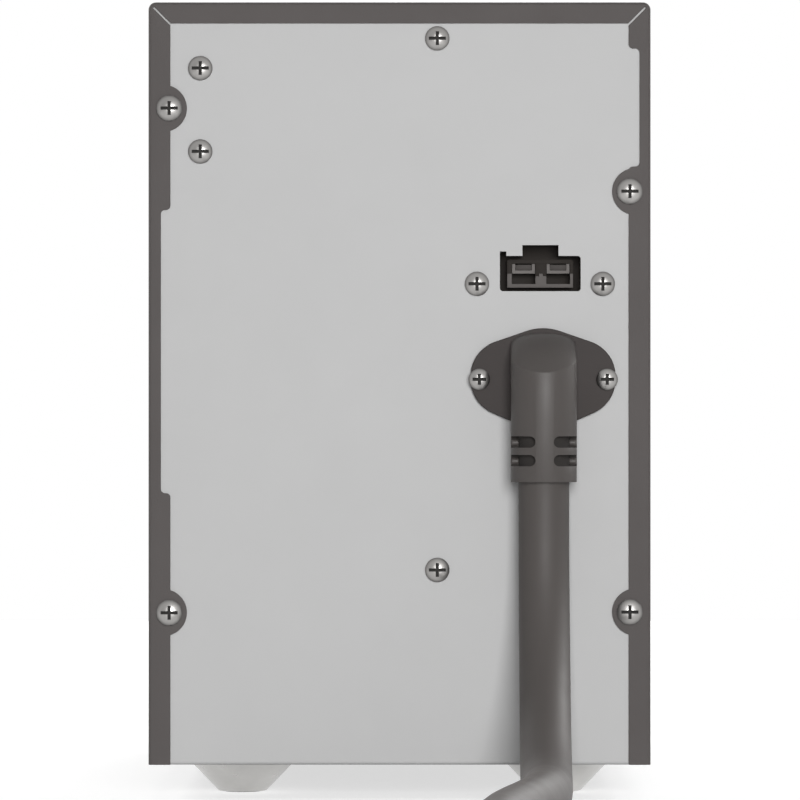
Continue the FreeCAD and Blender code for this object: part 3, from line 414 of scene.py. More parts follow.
@dataclass
class Wiring:
    """Adds nodes to a material or to the room, each with its values and wires."""

    tree: bpy.types.NodeTree

    def feed(self, node: bpy.types.Node, feeds: dict) -> None:
        """Give a node's inputs their values and wires.

        Args:
            node: The node.
            feeds: A value or a wire for each input, by its name or number.
        """
        for name, value in feeds.items():
            if isinstance(value, Wire):
                self.tree.links.new(value, node.inputs[name])
            else:
                node.inputs[name].default_value = value

    def add(self, kind: str, feeds: Optional[dict] = None, **settings: object) -> bpy.types.Node:
        """Add a node.

        Args:
            kind: The node's type, without the word ShaderNode.
            feeds: A value or a wire for each input that isn't left as it is.
            settings: The node's own settings.

        Returns:
            The node.
        """
        node = self.tree.nodes.new("ShaderNode" + kind)
        for name, value in settings.items():
            setattr(node, name, value)
        self.feed(node, feeds or {})
        return node

    def work_out(self, how: str, *parts: Feed) -> Wire:
        """Work out a number from wires and numbers.

        Args:
            how: The operation.
            parts: What it is done with, in order.

        Returns:
            The wire that carries the number.
        """
        return self.add("Math", dict(enumerate(parts)), operation=how).outputs[0]

    def place(self) -> Wire:
        """Find the place on the surface."""
        return self.add("TexCoord").outputs["Object"]

    def noise(self, size: float, detail: float) -> Wire:
        """Add a noise over the surface."""
        return self.add("TexNoise", {"Scale": size, "Detail": detail, "Vector": self.place()}).outputs["Fac"]

    def blend(self, amount: Wire, first: Sequence[float], last: Sequence[float],
              span: Pair = (0.0, 1.0)) -> Wire:
        """Go from one colour to another.

        Args:
            amount: How far the colour has gone.
            first: The colour at the start.
            last: The colour at the end.
            span: The amounts at which it starts and ends.

        Returns:
            The wire that carries the colour.
        """
        ramp = self.add("ValToRGB", {"Fac": amount})
        for stop, place, colour in zip(ramp.color_ramp.elements, span, (first, last)):
            stop.position = place
            stop.color = (*colour[:3], 1.0)
        return ramp.outputs["Color"]

    def raised(self, height: Wire, strength: float, distance: float = 0.0002) -> Wire:
        """Raise the surface by a height."""
        feeds = {"Strength": strength, "Distance": distance, "Height": height}
        return self.add("Bump", feeds).outputs["Normal"]

    def seen(self) -> Wire:
        """Tell the rays that show a surface from those that only light it.

        Returns:
            The wire that is 1 for the rays that show it and 0 for the others.
        """
        path = self.add("LightPath").outputs
        either = self.work_out("MAXIMUM", path["Is Camera Ray"], path["Is Glossy Ray"])
        return self.work_out("MAXIMUM", either, path["Is Transmission Ray"])


@dataclass(frozen=True)
class Finish:
    """A surface with broad shade changes, a fine grain and uneven gloss."""

    name: str  # The finish's name, which no material of the frame has.
    shade: tuple[int, int, int]  # Its colour as it shows, from 0 to 255.
    roughness: float = 0.5  # How matt it is.
    metallic: float = 0.0  # 1 for bare metal, 0 for paint, plastic and rubber.
    mottle: float = 0.06  # How much the shade changes from place to place.
    mottle_size: float = 22.0  # How fine those changes are, in waves per metre.
    grain: float = 0.08  # The depth of the fine grain.
    grain_size: float = 1400.0  # How fine the grain is, in waves per metre.
    gloss_spread: float = 0.08  # How much the gloss changes from place to place.
    level: float = 0.4  # The reflection's level at a glance from straight on.
    mottle_span: Pair = (0.3, 0.7)  # The part of the noise that the mottle goes over.
    gloss_share: float = 2.7  # How much finer the gloss changes are than the mottle.

    def material(self) -> bpy.types.Material:
        """Build the finish's material, or fetch it if it was built before.

        Returns:
            The material.
        """
        made = bpy.data.materials.get(self.name)
        if made is None:
            made = bpy.data.materials.new(self.name)
            made.use_nodes = True
            made.diffuse_color = linear(self.shade)
            wiring = Wiring(made.node_tree)
            feeds = {"Metallic": self.metallic, "Specular IOR Level": self.level,
                     "Base Color": self.colour(wiring), "Normal": self.relief(wiring)}
            wiring.feed(made.node_tree.nodes["Principled BSDF"], feeds | self.gloss(wiring))
        return made

    def colour(self, wiring: Wiring) -> Wire:
        """Let the colour drift a little, lighter and darker.

        Args:
            wiring: The material's nodes.

        Returns:
            The wire that carries the colour.
        """
        base = linear(self.shade)[:3]
        dark = [part * (1 - self.mottle) for part in base]
        light = [min(1.0, part * (1 + self.mottle)) for part in base]
        return wiring.blend(wiring.noise(self.mottle_size, 4.0), dark, light, self.mottle_span)

    def gloss(self, wiring: Wiring) -> dict[str, Feed]:
        """Let the gloss change from place to place.

        Args:
            wiring: The material's nodes.

        Returns:
            What the surface's gloss inputs are fed with.
        """
        span = wiring.add("MapRange", {"To Min": max(0.05, self.roughness - self.gloss_spread),
                                       "To Max": min(1.0, self.roughness + self.gloss_spread),
                                       "Value": wiring.noise(self.mottle_size * self.gloss_share, 3.0)})
        return {"Roughness": span.outputs["Result"]}

    def relief(self, wiring: Wiring) -> Wire:
        """Raise the fine grain."""
        return wiring.raised(wiring.noise(self.grain_size, 2.0), self.grain)


@dataclass(frozen=True)
class PlatedSheet(Finish):
    """Zinc-plated steel with its patches of crystals."""

    metallic: float = 1.0
    roughness: float = 0.38
    level: float = 0.5
    crystal_size: float = 90.0  # How fine the crystals are, in cells per metre.
    crystal_shade: float = 0.86  # The darkest crystal's share of the colour.

    def colour(self, wiring: Wiring) -> Wire:
        """Give each crystal its own shade.

        Args:
            wiring: The material's nodes.

        Returns:
            The wire that carries the colour.
        """
        cells = wiring.add("TexVoronoi", {"Scale": self.crystal_size, "Vector": wiring.place()})
        base = linear(self.shade)[:3]
        return wiring.blend(cells.outputs["Color"], [part * self.crystal_shade for part in base], base)


@dataclass(frozen=True)
class TurnedMetal(Finish):
    """Metal turned on a lathe, with fine rings one above the other."""

    ring_size: float = 900.0  # How fine the rings are, in waves per metre.
    ring_depth: float = 0.1  # How strongly they show.
    ring_drift: float = 0.4  # How uneven they are.

    def relief(self, wiring: Wiring) -> Wire:
        """Cut the lathe's rings at every height.

        Args:
            wiring: The material's nodes.

        Returns:
            The wire that carries the relief.
        """
        feeds = {"Scale": self.ring_size, "Distortion": self.ring_drift, "Vector": wiring.place()}
        rings = wiring.add("TexWave", feeds, wave_type="BANDS", bands_direction="Z")
        return wiring.raised(rings.outputs["Fac"], self.ring_depth, 0.0001)


@dataclass(frozen=True)
class ShadePaintedFinish(Finish):
    """A finish with painted shade: darker where a piece is marked as hollow or as a rim."""

    painted_hollow_shade: float = 0.8  # How much painted shade darkens the hollows.
    painted_rim_shade: float = 0.0  # How much painted shade darkens the rim.
    dark: tuple[float, float, float, float] = (0.012, 0.011, 0.010, 1.0)  # The painted shade's colour, which both go to.

    def colour(self, wiring: Wiring) -> Wire:
        """Lay the drifting colour, then the painted shade of the marks.

        Args:
            wiring: The material's nodes.

        Returns:
            The wire that carries the colour.
        """
        colour = super().colour(wiring)
        for mark, share in (("hollow", self.painted_hollow_shade), ("rim", self.painted_rim_shade)):
            reader = wiring.add("Attribute", attribute_name=mark)
            amount = wiring.work_out("MULTIPLY", reader.outputs["Fac"], share)
            mixed = wiring.add("MixRGB", {"Fac": amount, "Color1": colour, "Color2": self.dark})
            colour = mixed.outputs["Color"]
        return colour

    def gloss(self, wiring: Wiring) -> dict[str, Feed]:
        """Lay the uneven gloss, and none in the hollows, so that their painted shade reflects nothing.

        Args:
            wiring: The material's nodes.

        Returns:
            What the surface's gloss inputs are fed with.
        """
        hollow = wiring.add("Attribute", attribute_name="hollow").outputs["Fac"]
        rough = super().gloss(wiring)["Roughness"]
        feeds = {"Roughness": wiring.work_out("MAXIMUM", rough, hollow)}
        if self.metallic:
            feeds["Metallic"] = wiring.work_out("MULTIPLY_ADD", hollow, -self.metallic, self.metallic)
        return feeds


class Finishes:
    """Every finish on the cabinet."""

    COVER = Finish("cover_powder_coat", (87, 83, 82), 0.62, mottle=0.03, grain=0.2, grain_size=1500.0,
                   level=0.15)
    PANEL = Finish("panel_powder_coat", (190, 190, 190), 0.62, mottle=0.008, grain=0.06, grain_size=1200.0,
                   level=0.2)
    PLATED = PlatedSheet("zinc_plated_sheet", (176, 178, 180))
    # The screw heads' cross recesses and rims are darkened with painted shade.
    SCREW = ShadePaintedFinish("nickel_screw", (160, 158, 156), 0.34, 1.0, mottle=0.05, grain=0.03, level=0.5,
                         painted_hollow_shade=0.93, painted_rim_shade=0.66)
    BEZEL = Finish("bezel_moulding", (58, 56, 56), 0.5, grain=0.2, grain_size=1100.0, level=0.3)
    # The housing's colour is the collar's grey plastic darkened to the shade in its recessed well: painted
    # shade.
    SHADED_SOCKET = Finish("socket_moulding_shaded", (43, 39, 36), 0.6, grain=0.08, grain_size=2200.0, level=0.1)
    CONTACT = Finish("tinned_contact", (86, 82, 80), 0.5, metallic=0.2, grain=0.05, level=0.2)
    GUARD = Finish("contact_guard", (72, 68, 66), 0.6, grain=0.08, grain_size=2200.0, level=0.15)
    COLLAR = Finish("collar_moulding", (94, 90, 88), 0.6, grain=0.08, grain_size=2200.0, level=0.15)
    # The flange is the same moulding as the sleeve, in a slightly darker copy of its colour: painted shade.
    SHADED_FLANGE = Finish("flange_moulding_shaded", (71, 67, 66), 0.62, mottle=0.03, grain=0.08, grain_size=1800.0,
                    level=0.06)
    # The relief's slots are darkened with painted shade.
    SLEEVE = ShadePaintedFinish("sleeve_moulding", (76, 72, 70), 0.48, mottle=0.03, grain=0.06, grain_size=1800.0,
                          level=0.32, painted_hollow_shade=0.6)
    JACKET = Finish("rubber_jacket", (78, 74, 72), 0.55, mottle=0.04, grain=0.08, grain_size=1600.0,
                    level=0.26)
    PLUG = Finish("plug_moulding", (52, 49, 48), 0.48, grain=0.16, grain_size=1700.0, level=0.3)
    # The feet's strong, broad mottle is random tone, made large enough to stand in for the light and dark
    # bands a turned cone reflects: painted reflection.
    FOOT = TurnedMetal("satin_turned_foot", (194, 193, 191), 0.3, metallic=1.0, mottle=0.1, mottle_size=42.0,
                       level=0.5)
    PAD = Finish("soft_black_rubber", (40, 40, 42), 0.8, grain=0.2, level=0.2)
    BATTERY = Finish("battery_moulding", (70, 72, 74), 0.5, grain=0.12)
    COPPER = Finish("copper_link", (196, 128, 92), 0.32, metallic=1.0, mottle=0.12, level=0.5)
    BOARD = Finish("pressed_board", (150, 142, 128), 0.8, mottle=0.1, grain=0.2, grain_size=900.0)
    FUSE_BASE = Finish("fuse_base_moulding", (120, 60, 40), 0.45)
    CERAMIC = Finish("fuse_ceramic", (226, 222, 210), 0.3, mottle=0.03)
    FOAM = Finish("closed_foam", (60, 60, 62), 0.9, grain=0.4, grain_size=600.0)


class Cabinet:
    """Puts finished pieces on the cabinet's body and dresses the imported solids."""

    hidden_solids: dict[Finish, tuple[str, ...]] = {
        Finishes.PANEL: ("chassis_pan",),
        Finishes.PLATED: ("front_plate", "socket_bracket", "battery_shelf", "battery_hold_down",
                          "battery_stop", "fuse_bracket"),
        Finishes.SCREW: ("foot_screws", "shelf_screws", "hold_down_screws", "front_plate_screws"),
        Finishes.BATTERY: tuple("battery_%02d" % number for number in range(1, 17)),
        Finishes.COPPER: ("battery_links",),
        Finishes.BOARD: ("insulating_sheet",),
        Finishes.FUSE_BASE: ("fuse_block",),
        Finishes.CERAMIC: ("fuses",),
        Finishes.FOAM: ("foam_pad",),
    }

    @staticmethod
    def mount(piece: Piece, finish: Finish, slot: str, *nodes: str) -> Piece:
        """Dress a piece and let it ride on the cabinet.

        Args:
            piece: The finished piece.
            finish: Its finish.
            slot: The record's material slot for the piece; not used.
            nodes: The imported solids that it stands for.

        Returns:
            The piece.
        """
        piece.data.materials.clear()
        piece.data.materials.append(finish.material())
        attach(piece, BODY)
        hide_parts(*nodes)
        log.info("piece %s: %d faces", piece.name, len(getattr(piece.data, "polygons", ())))
        return piece

    @classmethod
    def dress_solids(cls) -> None:
        """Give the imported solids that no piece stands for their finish."""
        for finish, names in cls.hidden_solids.items():
            for name in names:
                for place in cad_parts[name].material_slots:
                    place.material = finish.material()
                log.info("solid %s: %s", name, finish.name)


@dataclass
class Cover:
    """The folded steel cover, with mitred flanges round the rear panel."""

    width: float = 0.214
    low: float = 0.014  # The height of its lower edge.
    high: float = 0.339  # The height of its top.
    rear: float = -0.0011  # Its outer rear face, from the panel.
    front: float = 0.378  # Its front edge, from the panel.
    sheet: float = 0.001  # The sheet's thickness.
    corner: float = 0.0032  # The radius of its top corners.
    fold: float = 0.0014  # The radius of its rear fold.
    side_flange: float = 0.00935  # The width of a side flange.
    top_flange: float = 0.009  # The width of the top flange.
    # The left flange's narrow width, and where that starts and ends.
    narrow_left: tuple[float, float, float] = (0.0053, 0.1298, 0.2505)
    narrow_right: tuple[float, float, float] = (0.0047, 0.269, 0.3193)  # The same of the right flange.
    step_round: float = 0.0018  # The radius of the steps' corners.
    tab_radius: float = 0.010  # The radius of the screw tabs.
    tab_reach: float = 0.0064  # The distance of their middles from the cover's side.
    tabs: tuple[Pair, Pair] = ((0.2938, 0.0789), (0.2584, 0.0792))  # Their heights, left and right.
    mitre_width: float = 0.00075  # The gap in a mitre.
    mitre_depth: Pair = (-0.0015, 0.0010)  # The reach of its tool, from the cover's rear face.
    mitre_start: float = 0.0021  # How far inside the corner the gap starts.
    edge: float = 0.00012  # The round of the sheet's cut edges.

    def shell(self) -> Piece:
        """Fold the sheet: top, sides and a rear wall, with its rounds.

        Returns:
            The folded sheet.
        """
        half = self.width / 2
        top = on_level(self.high)
        rear = PANEL_Y + self.rear
        piece = Bench.slab("wrap_cover_folded", (-half, half), (self.rear, self.front), (self.low, self.high))
        Bench.round_edges(piece, self.corner, 8, lambda m, d: runs_through(m, d) and top(m, d))
        Bench.round_edges(piece, self.fold, 5, lambda m, d: abs(m.y - rear) < NEAR and m.z > self.low + CLEAR)
        Bench.pick(piece, "FACE", lambda m, n: n.z < -ALONG or n.y > ALONG)
        bpy.ops.mesh.delete(type="FACE")
        Bench.apply(piece, "SOLIDIFY", thickness=self.sheet, offset=-1.0, use_even_offset=True)
        return piece

    def opening(self) -> Piece:
        """Make the tool that opens the rear wall, with its steps and screw tabs left standing.

        Returns:
            The tool.
        """
        half = self.width / 2
        side = half - self.side_flange
        ys = (self.rear - BEYOND, BEYOND)
        tool = Bench.slab("rear_opening", (-side, side), ys, (self.low - BEYOND, self.high - self.top_flange))
        left, *left_run = self.narrow_left
        right, *right_run = self.narrow_right
        Bench.join(tool, [Bench.slab("left_narrows", (left - half, 0), ys, left_run),
                          Bench.slab("right_narrows", (0, half - right), ys, right_run)])
        steps = (*left_run, *right_run)
        Bench.round_edges(tool, self.step_round, 5,
                          lambda m, d: runs_through(m, d) and min(abs(m.z - step) for step in steps) < NEAR)
        return Bench.cut(tool, [
            Bench.round_bar("tab", at(hand * (half - self.tab_reach), ys[0] - BEYOND, height), Heading.FRONT,
                            5 * BEYOND, self.tab_radius, sides=96)
            for hand, heights in zip(HANDS, self.tabs) for height in heights])

    def mitre(self, hand: int) -> Piece:
        """Make the thin tool that opens one mitre.

        Args:
            hand: -1 for the left corner, 1 for the right one.

        Returns:
            The tool.
        """
        long = (self.side_flange + BEYOND) * math.sqrt(2)
        half = self.mitre_width / 2
        tool = Bench.slab("mitre", (0, long), self.mitre_depth, (-half, half), from_panel=False)
        turn = Matrix.Rotation(math.radians(45 if hand < 0 else 135), 4, "Y")
        corner = at(hand * (self.width / 2 - self.mitre_start), self.rear, self.high - self.mitre_start)
        tool.data.transform(Matrix.Translation(corner) @ turn)
        return tool

    def build(self) -> None:
        """Build the cover and put it on the cabinet."""
        piece = Bench.cut(self.shell(), [self.opening(), *(self.mitre(hand) for hand in HANDS)])
        Cabinet.mount(Bench.soften(piece, self.edge, 1, 55.0), Finishes.COVER, "cover_paint", "wrap_cover")


@dataclass
class PanScrew:
    """A pan-head screw with a cross recess."""

    head_radius: float
    recess_length: float = 0.0081  # The cross recess from end to end.
    dome: float = 0.0016  # How far the head's dome rises over its rim.
    head_height: float = 0.0026
    shank_radius: float = 0.002
    shank_length: float = 0.007  # The shank's length behind the head.
    recess_width: float = 0.0015  # The width of each arm.
    recess_depth: float = 0.0021
    recess_taper: float = 0.85  # Its size at its floor, as a share of that at its mouth.
    recess_upright: float = 0.8  # The upright arm's share of the length.
    rim_round: float = 0.0003  # The round of the dome's edge.
    rim_start: float = 0.72  # Where the rim's painted shade starts, as a share of the radius.
    rim_fade: float = 1.5  # How late the rim's painted shade darkens; 1 is evenly.

    @property
    def ball_radius(self) -> float:
        """The radius of the ball that the dome is part of."""
        return (self.head_radius ** 2 + self.dome ** 2) / (2 * self.dome)

    def arm(self, reach: float, half: float) -> Piece:
        """Make the tool for one arm of the recess, narrower at its floor.

        Args:
            reach: Half its size across.
            half: Half its size upwards.

        Returns:
            The tool.
        """
        depth = (-self.head_height - BEYOND, -self.head_height + self.recess_depth)
        tool = Bench.slab("recess", (-reach, reach), depth, (-half, half), from_panel=False)
        Bench.pick(tool, "FACE", lambda m, n: n.y > ALONG)
        bpy.ops.transform.resize(value=(self.recess_taper, 1.0, self.recess_taper), center_override=(0, 0, 0))
        Bench.clear()
        return tool

    def in_recess(self, place: Vector) -> float:
        """Tell the recess, which gets painted shade, from the rest of the head.

        Args:
            place: The middle of a face.

        Returns:
            1 in the recess, otherwise 0.
        """
        out = math.hypot(place.x, place.z)
        if out >= self.recess_length / 2 + 3 * CLEAR:
            return 0.0
        dome_face = self.ball_radius - math.sqrt(self.ball_radius ** 2 - out ** 2) - self.head_height
        return float(0 > place.y > dome_face + CLEAR)

    def at_rim(self, place: Vector) -> float:
        """Measure from 0 to 1 how near a point is to the rim, for the rim's painted shade.

        Args:
            place: The point.

        Returns:
            How near it is; 1 is at the rim.
        """
        start = self.head_radius * self.rim_start
        out = (math.hypot(place.x, place.z) - start) / (self.head_radius - start)
        return min(1.0, max(0.0, out)) ** self.rim_fade

    def model(self, name: str) -> Piece:
        """Model one screw at the origin, with its head towards the viewer.

        Args:
            name: The screw's name.

        Returns:
            The screw.
        """
        head = Bench.round_bar(name, Vector((0, -self.head_height, 0)), Heading.FRONT, self.head_height,
                               self.head_radius)
        middle = Vector((0, self.ball_radius - self.head_height, 0))
        Bench.combine(head, "INTERSECT", [Bench.ball("dome", middle, self.ball_radius)])
        rim = self.dome - self.head_height
        Bench.round_edges(head, self.rim_round, 3, lambda m, d: abs(m.y - rim) < CLEAR)
        reach = self.recess_length / 2
        half = self.recess_width / 2
        Bench.cut(head, [self.arm(reach, half), self.arm(half, reach * self.recess_upright)])
        Bench.join(head, [Bench.round_bar("shank", Vector((0, -2 * CLEAR, 0)), Heading.FRONT,
                                          self.shank_length, self.shank_radius, sides=24)])
        Bench.smooth(head, 38.0)
        # Mark the recess and the rim, which the finish darkens with painted shade.
        Bench.mark(head, "hollow", "FACE", (self.in_recess(face.center) for face in head.data.polygons))
        Bench.mark(head, "rim", "POINT", (self.at_rim(point.co) for point in head.data.vertices))
        return head

    def set_in(self, stem: str, seat: float, places: Sequence[Pair]) -> None:
        """Model the screw once and set a copy in each place.

        Args:
            stem: The start of each copy's name.
            seat: What the heads sit on, from the panel.
            places: Where they go, across and upwards.
        """
        pattern = self.model(stem)
        for number, (x, z) in enumerate(places, 1):
            double = Bench.copy(pattern, "%s_%d" % (stem, number), at(x, seat, z))
            Cabinet.mount(double, Finishes.SCREW, "screw_steel", stem + "s")
        bpy.data.objects.remove(pattern, do_unlink=True)


@dataclass
class RearScrews:
    """Every screw on the back of the cabinet."""

    # The cover's screws.
    cover: tuple[Pair, ...] = ((-0.0981, 0.2938), (-0.0981, 0.0789), (0.0981, 0.2584), (0.0981, 0.0792))
    # The fuse bracket's, the battery stop's and the socket's screws, in pairs.
    panel: tuple[Pair, ...] = ((-0.0849, 0.3109), (-0.0849, 0.2754), (0.0161, 0.3236), (0.0161, 0.0971),
                               (0.033, 0.219), (0.0866, 0.219))
    entry: tuple[Pair, ...] = ((0.03395, 0.1783), (0.08835, 0.1783))  # The cable entry's screws.

    def build(self) -> None:
        """Set each kind of screw in its places."""
        PanScrew(0.0055).set_in("cover_screw", -0.0011, self.cover)
        PanScrew(0.0052).set_in("panel_screw", 0, self.panel)
        PanScrew(0.00455, recess_length=0.0064, dome=0.0014).set_in("entry_screw", -0.0031, self.entry)


@dataclass
class CableEntry:
    """The moulded cable entry: a belt-shaped flange, an elbow under a sloping arch and a slotted relief."""

    x: float = 0.06115  # Its middle.
    z: float = 0.1783  # The height of the hole in the panel.
    flange_seat: float = -0.0001  # The flange's rear face, from the panel.
    flange_thick: float = 0.003  # The flange's thickness.
    flange_radius: float = 0.0218  # The radius of its middle.
    ear_radius: float = 0.0156  # The radius of its ears.
    ear_offset: float = 0.0153  # The distance of each ear's centre from the middle.
    ear_lift: float = 0.0013  # How much fuller the ears are above.
    radius: float = 0.01395  # The elbow's radius.
    axis_y: float = -0.0161  # The upright's axis, from the panel.
    low: float = 0.1348  # The relief's lower end.
    arch_top: float = 0.0199  # The arch's height over the hole's middle, at the panel.
    arch_rise: float = 0.0050  # The arch's rise over its straight sides.
    arch_fall: float = 0.0172  # How far the arch falls on its way to the viewer.
    arch_bend: float = 1.6  # How its crown bends down; 1 is straight.
    side_bend: float = 1.15  # How its sides bend down.
    arch_steps: int = 12  # The number of flats along its fall.
    arch_drop: float = 0.09  # How far its straight sides reach down.
    slot_heights: Pair = (0.15175, 0.1439)  # The heights of the relief's slots.
    slot_width: float = 0.0048  # Their width.
    slot_spine: float = 0.0077  # The spine between the slots of one height.
    core_radius: float = 0.01075  # The radius of the core that the slots are cut down to.
    web_thick: float = 0.0016  # The web between the slots of the two faces.
    bar_width: float = 0.0034  # The length of the bars at the slots' mouths.
    bar_height: float = 0.0032  # The bars' thickness.
    bar_drop: float = 0.00035  # How far under a slot's middle its bar is.
    bar_inset: float = 0.00015  # How far inside the relief's side a bar ends.
    bar_round: float = 0.35  # The round of a bar's ends, as a share of its radius.
    rim_round: float = 0.0006  # The round of the flange's edge.
    edge: float = 0.00022  # The round of the elbow's edges.
    throat_slack: float = 0.00003  # How much narrower the throat is than the upright.
    throat_sink: float = 0.0005  # How far the throat goes into the flange.

    def flange(self) -> Piece:
        """Wrap a belt round one large disc and two small ones on each side.

        Returns:
            The flange.
        """
        start = self.flange_seat - self.flange_thick
        discs = [(0.0, 0.0, self.flange_radius)]
        discs += [(hand * self.ear_offset, lift, self.ear_radius)
                  for lift in (0.0, self.ear_lift) for hand in HANDS]
        plate = Bench.wrap([
            Bench.round_bar("entry_flange", at(self.x + offset, start, self.z + lift), Heading.FRONT,
                            self.flange_thick, radius, sides=128)
            for offset, lift, radius in discs])
        face = PANEL_Y + start
        Bench.round_edges(plate, self.rim_round, 3, lambda m, d: abs(m.y - face) < NEAR)
        return Bench.smooth(plate, 50.0)

    def stations(self, reach: float) -> list[tuple[float, float, float]]:
        """List the arch's steps towards the viewer, with one more at each end.

        Args:
            reach: How far the arch goes.

        Returns:
            Each step's run, the fall of its sides so far and its rise there.
        """
        shares = [step / self.arch_steps for step in range(self.arch_steps + 1)]
        steps = [(BEYOND, 0.0)] + [(reach / self.arch_steps, share) for share in shares[1:]] + [(BEYOND, 1.0)]
        listed = []
        for run, share in steps:
            fall = self.arch_fall * share ** self.side_bend
            listed.append((run, fall, self.arch_rise + fall - self.arch_fall * share ** self.arch_bend))
        return listed

    def vault(self) -> Piece:
        """Push an arch towards the viewer and down from behind the panel.

        Returns:
            The solid under the arch.
        """
        back = self.flange_seat - self.flange_thick
        origin = Vector((0, 0, 0))
        Bench.clear()
        upright = (math.radians(90), 0, 0)
        bpy.ops.mesh.primitive_circle_add(vertices=96, radius=1.0, fill_type="NGON", rotation=upright)
        tool = Bench.adopt("vault")
        Bench.pick(tool, "VERT", everything)
        bpy.ops.transform.resize(value=(self.radius + CLEAR, 1, self.arch_rise), center_override=origin)
        Bench.pick(tool, "VERT", lambda p, n: p.z < -NEAR)
        bpy.ops.transform.translate(value=(0, 0, -self.arch_drop))
        Bench.pick(tool, "FACE", everything)
        fallen = 0.0
        rise = self.arch_rise
        for run, fall, now in self.stations(back - (self.axis_y - self.radius)):
            bpy.ops.mesh.extrude_region_move(TRANSFORM_OT_translate={"value": (0, -run, fallen - fall)})
            bpy.ops.transform.resize(value=(1, 1, now / rise), center_override=(0, 0, -fall))
            fallen, rise = fall, now
        bpy.ops.mesh.select_all(action="SELECT")
        bpy.ops.transform.translate(value=at(self.x, back + BEYOND, self.z + self.arch_top - self.arch_rise))
        bpy.ops.mesh.normals_make_consistent(inside=False)
        Bench.clear()
        return tool

    def throat(self) -> Piece:
        """Make the passage from the panel to the upright, round below and square above.

        Returns:
            The passage.
        """
        end = self.flange_seat - self.flange_thick + self.throat_sink
        half = self.radius - self.throat_slack
        return Bench.wrap([
            Bench.round_bar("throat", at(self.x, self.axis_y, self.z), Heading.FRONT, end - self.axis_y, half,
                            sides=128),
            Bench.slab("boss", (self.x - half, self.x + half), (self.axis_y, end),
                       (self.z, self.z + self.arch_top)),
        ])

    def elbow(self) -> Piece:
        """Join the upright to the throat and trim both under the arch.

        Returns:
            The elbow, without its slots.
        """
        long = self.z + self.arch_top - self.low
        body = Bench.round_bar("entry_elbow", at(self.x, self.axis_y, self.low), Heading.UP, long,
                               self.radius, sides=128)
        return Bench.combine(Bench.join(body, [self.throat()]), "INTERSECT", [self.vault()])

    def slot(self, height: float, hand: int, face: int) -> Piece:
        """Make the tool for one round-ended slot of the relief.

        Args:
            height: The slot's middle height.
            hand: -1 for the left side, 1 for the right one.
            face: -1 for the outer face of the web, 1 for the face towards the panel.

        Returns:
            The tool.
        """
        half = self.slot_width / 2
        end = self.x + hand * (self.slot_spine / 2 + half)
        edge = self.x + hand * (self.radius + BEYOND)
        web = self.axis_y + face * self.web_thick / 2
        low, high = sorted((web, web + face * (self.radius + BEYOND)))
        tool = Bench.wrap([
            Bench.slab("slot", (end, edge), (low, high), (height - half, height + half)),
            Bench.round_bar("slot_end", at(end, low, height), Heading.FRONT, high - low, half, sides=40),
        ])
        core = Bench.round_bar("core", at(self.x, self.axis_y, height - 5 * BEYOND), Heading.UP,
                               10 * BEYOND, self.core_radius, sides=96)
        return Bench.cut(tool, [core])

    def bar(self, height: float, hand: int) -> Piece:
        """Make the round bar that ties two rings of the relief together at one side.

        Args:
            height: The slot's middle height.
            hand: -1 for the left side, 1 for the right one.

        Returns:
            The bar.
        """
        radius = self.bar_height / 2
        inner = self.radius - self.bar_width
        outer = self.radius - self.bar_inset
        start = at(self.x + min(hand * inner, hand * outer), self.axis_y, height - self.bar_drop)
        bar = Bench.round_bar("bridge", start, Heading.RIGHT, outer - inner, radius, sides=48)
        Bench.round_edges(bar, radius * self.bar_round, 4, lambda m, d: abs(d.x) < 0.5)
        return Bench.smooth(bar, 50.0)

    def in_slot(self, place: Vector) -> float:
        """Tell the floors and sides of the slots, which get painted shade, from the rest of the relief.

        Args:
            place: The middle of a face.

        Returns:
            1 in a slot, otherwise 0.
        """
        out = math.hypot(place.x - self.x, place.y - PANEL_Y - self.axis_y)
        near = min(abs(place.z - height) for height in self.slot_heights)
        return float(out < self.radius - 3 * CLEAR and near < self.slot_width / 2 + CLEAR)

    def build(self) -> None:
        """Build the cable entry and put it on the rear panel."""
        body = self.elbow()
        Bench.cut(body, [self.slot(height, hand, face) for height in self.slot_heights for hand in HANDS
                         for face in HANDS])
        Bench.soften(body, self.edge, 2, 40.0)
        # Mark the slots, which the finish darkens with painted shade.
        Bench.mark(body, "hollow", "FACE", (self.in_slot(face.center) for face in body.data.polygons))
        bars = [self.bar(height, hand) for height in self.slot_heights for hand in HANDS]
        Cabinet.mount(Bench.group([body, *bars]), Finishes.SLEEVE, "entry_plastic", "cable_elbow")
        # The flange takes the darker copy of the sleeve's colour, which is painted shade.
        Cabinet.mount(self.flange(), Finishes.SHADED_FLANGE, "entry_plastic", "cable_elbow")


@dataclass
class SocketShape:
    """The keyed outline that the socket and the plug share."""

    x: float = 0.060  # The middle of the main opening.
    z: float = 0.2234  # Its middle height.
    width: float = 0.03445
    height: float = 0.01505
    corner: float = 0.0013  # The radius of its corners.
    latch_left: float = 0.0096  # The latch slot's left edge, from the opening's left edge.
    latch_width: float = 0.0154  # The latch slot's width.
    latch_height: float = 0.0046  # The latch slot's height over the opening.
    key_width: float = 0.00275  # The key slot's width.
    key_height: float = 0.0019  # The key slot's height over the opening.

    def block(self, name: str, grow: float, rear: float, front: float) -> Piece:
        """Build a solid with this outline.

        Args:
            name: The solid's name.
            grow: How much larger it is all round.
            rear: Its end towards the viewer, from the panel.
            front: Its other end, from the panel.

        Returns:
            The solid.
        """
        left = self.x - self.width / 2
        low = self.z - self.height / 2
        high = low + self.height + grow
        main = Bench.slab(name, (left - grow, left + self.width + grow), (rear, front), (low - grow, high))
        Bench.round_edges(main, self.corner + grow, 5, runs_through)
        runs = ((left + self.latch_left, self.latch_width, self.latch_height),
                (left, self.key_width, self.key_height))
        return Bench.join(main, [
            Bench.slab("keyway", (start - grow, start + wide + grow), (rear, front), (self.z, high + tall))
            for start, wide, tall in runs])


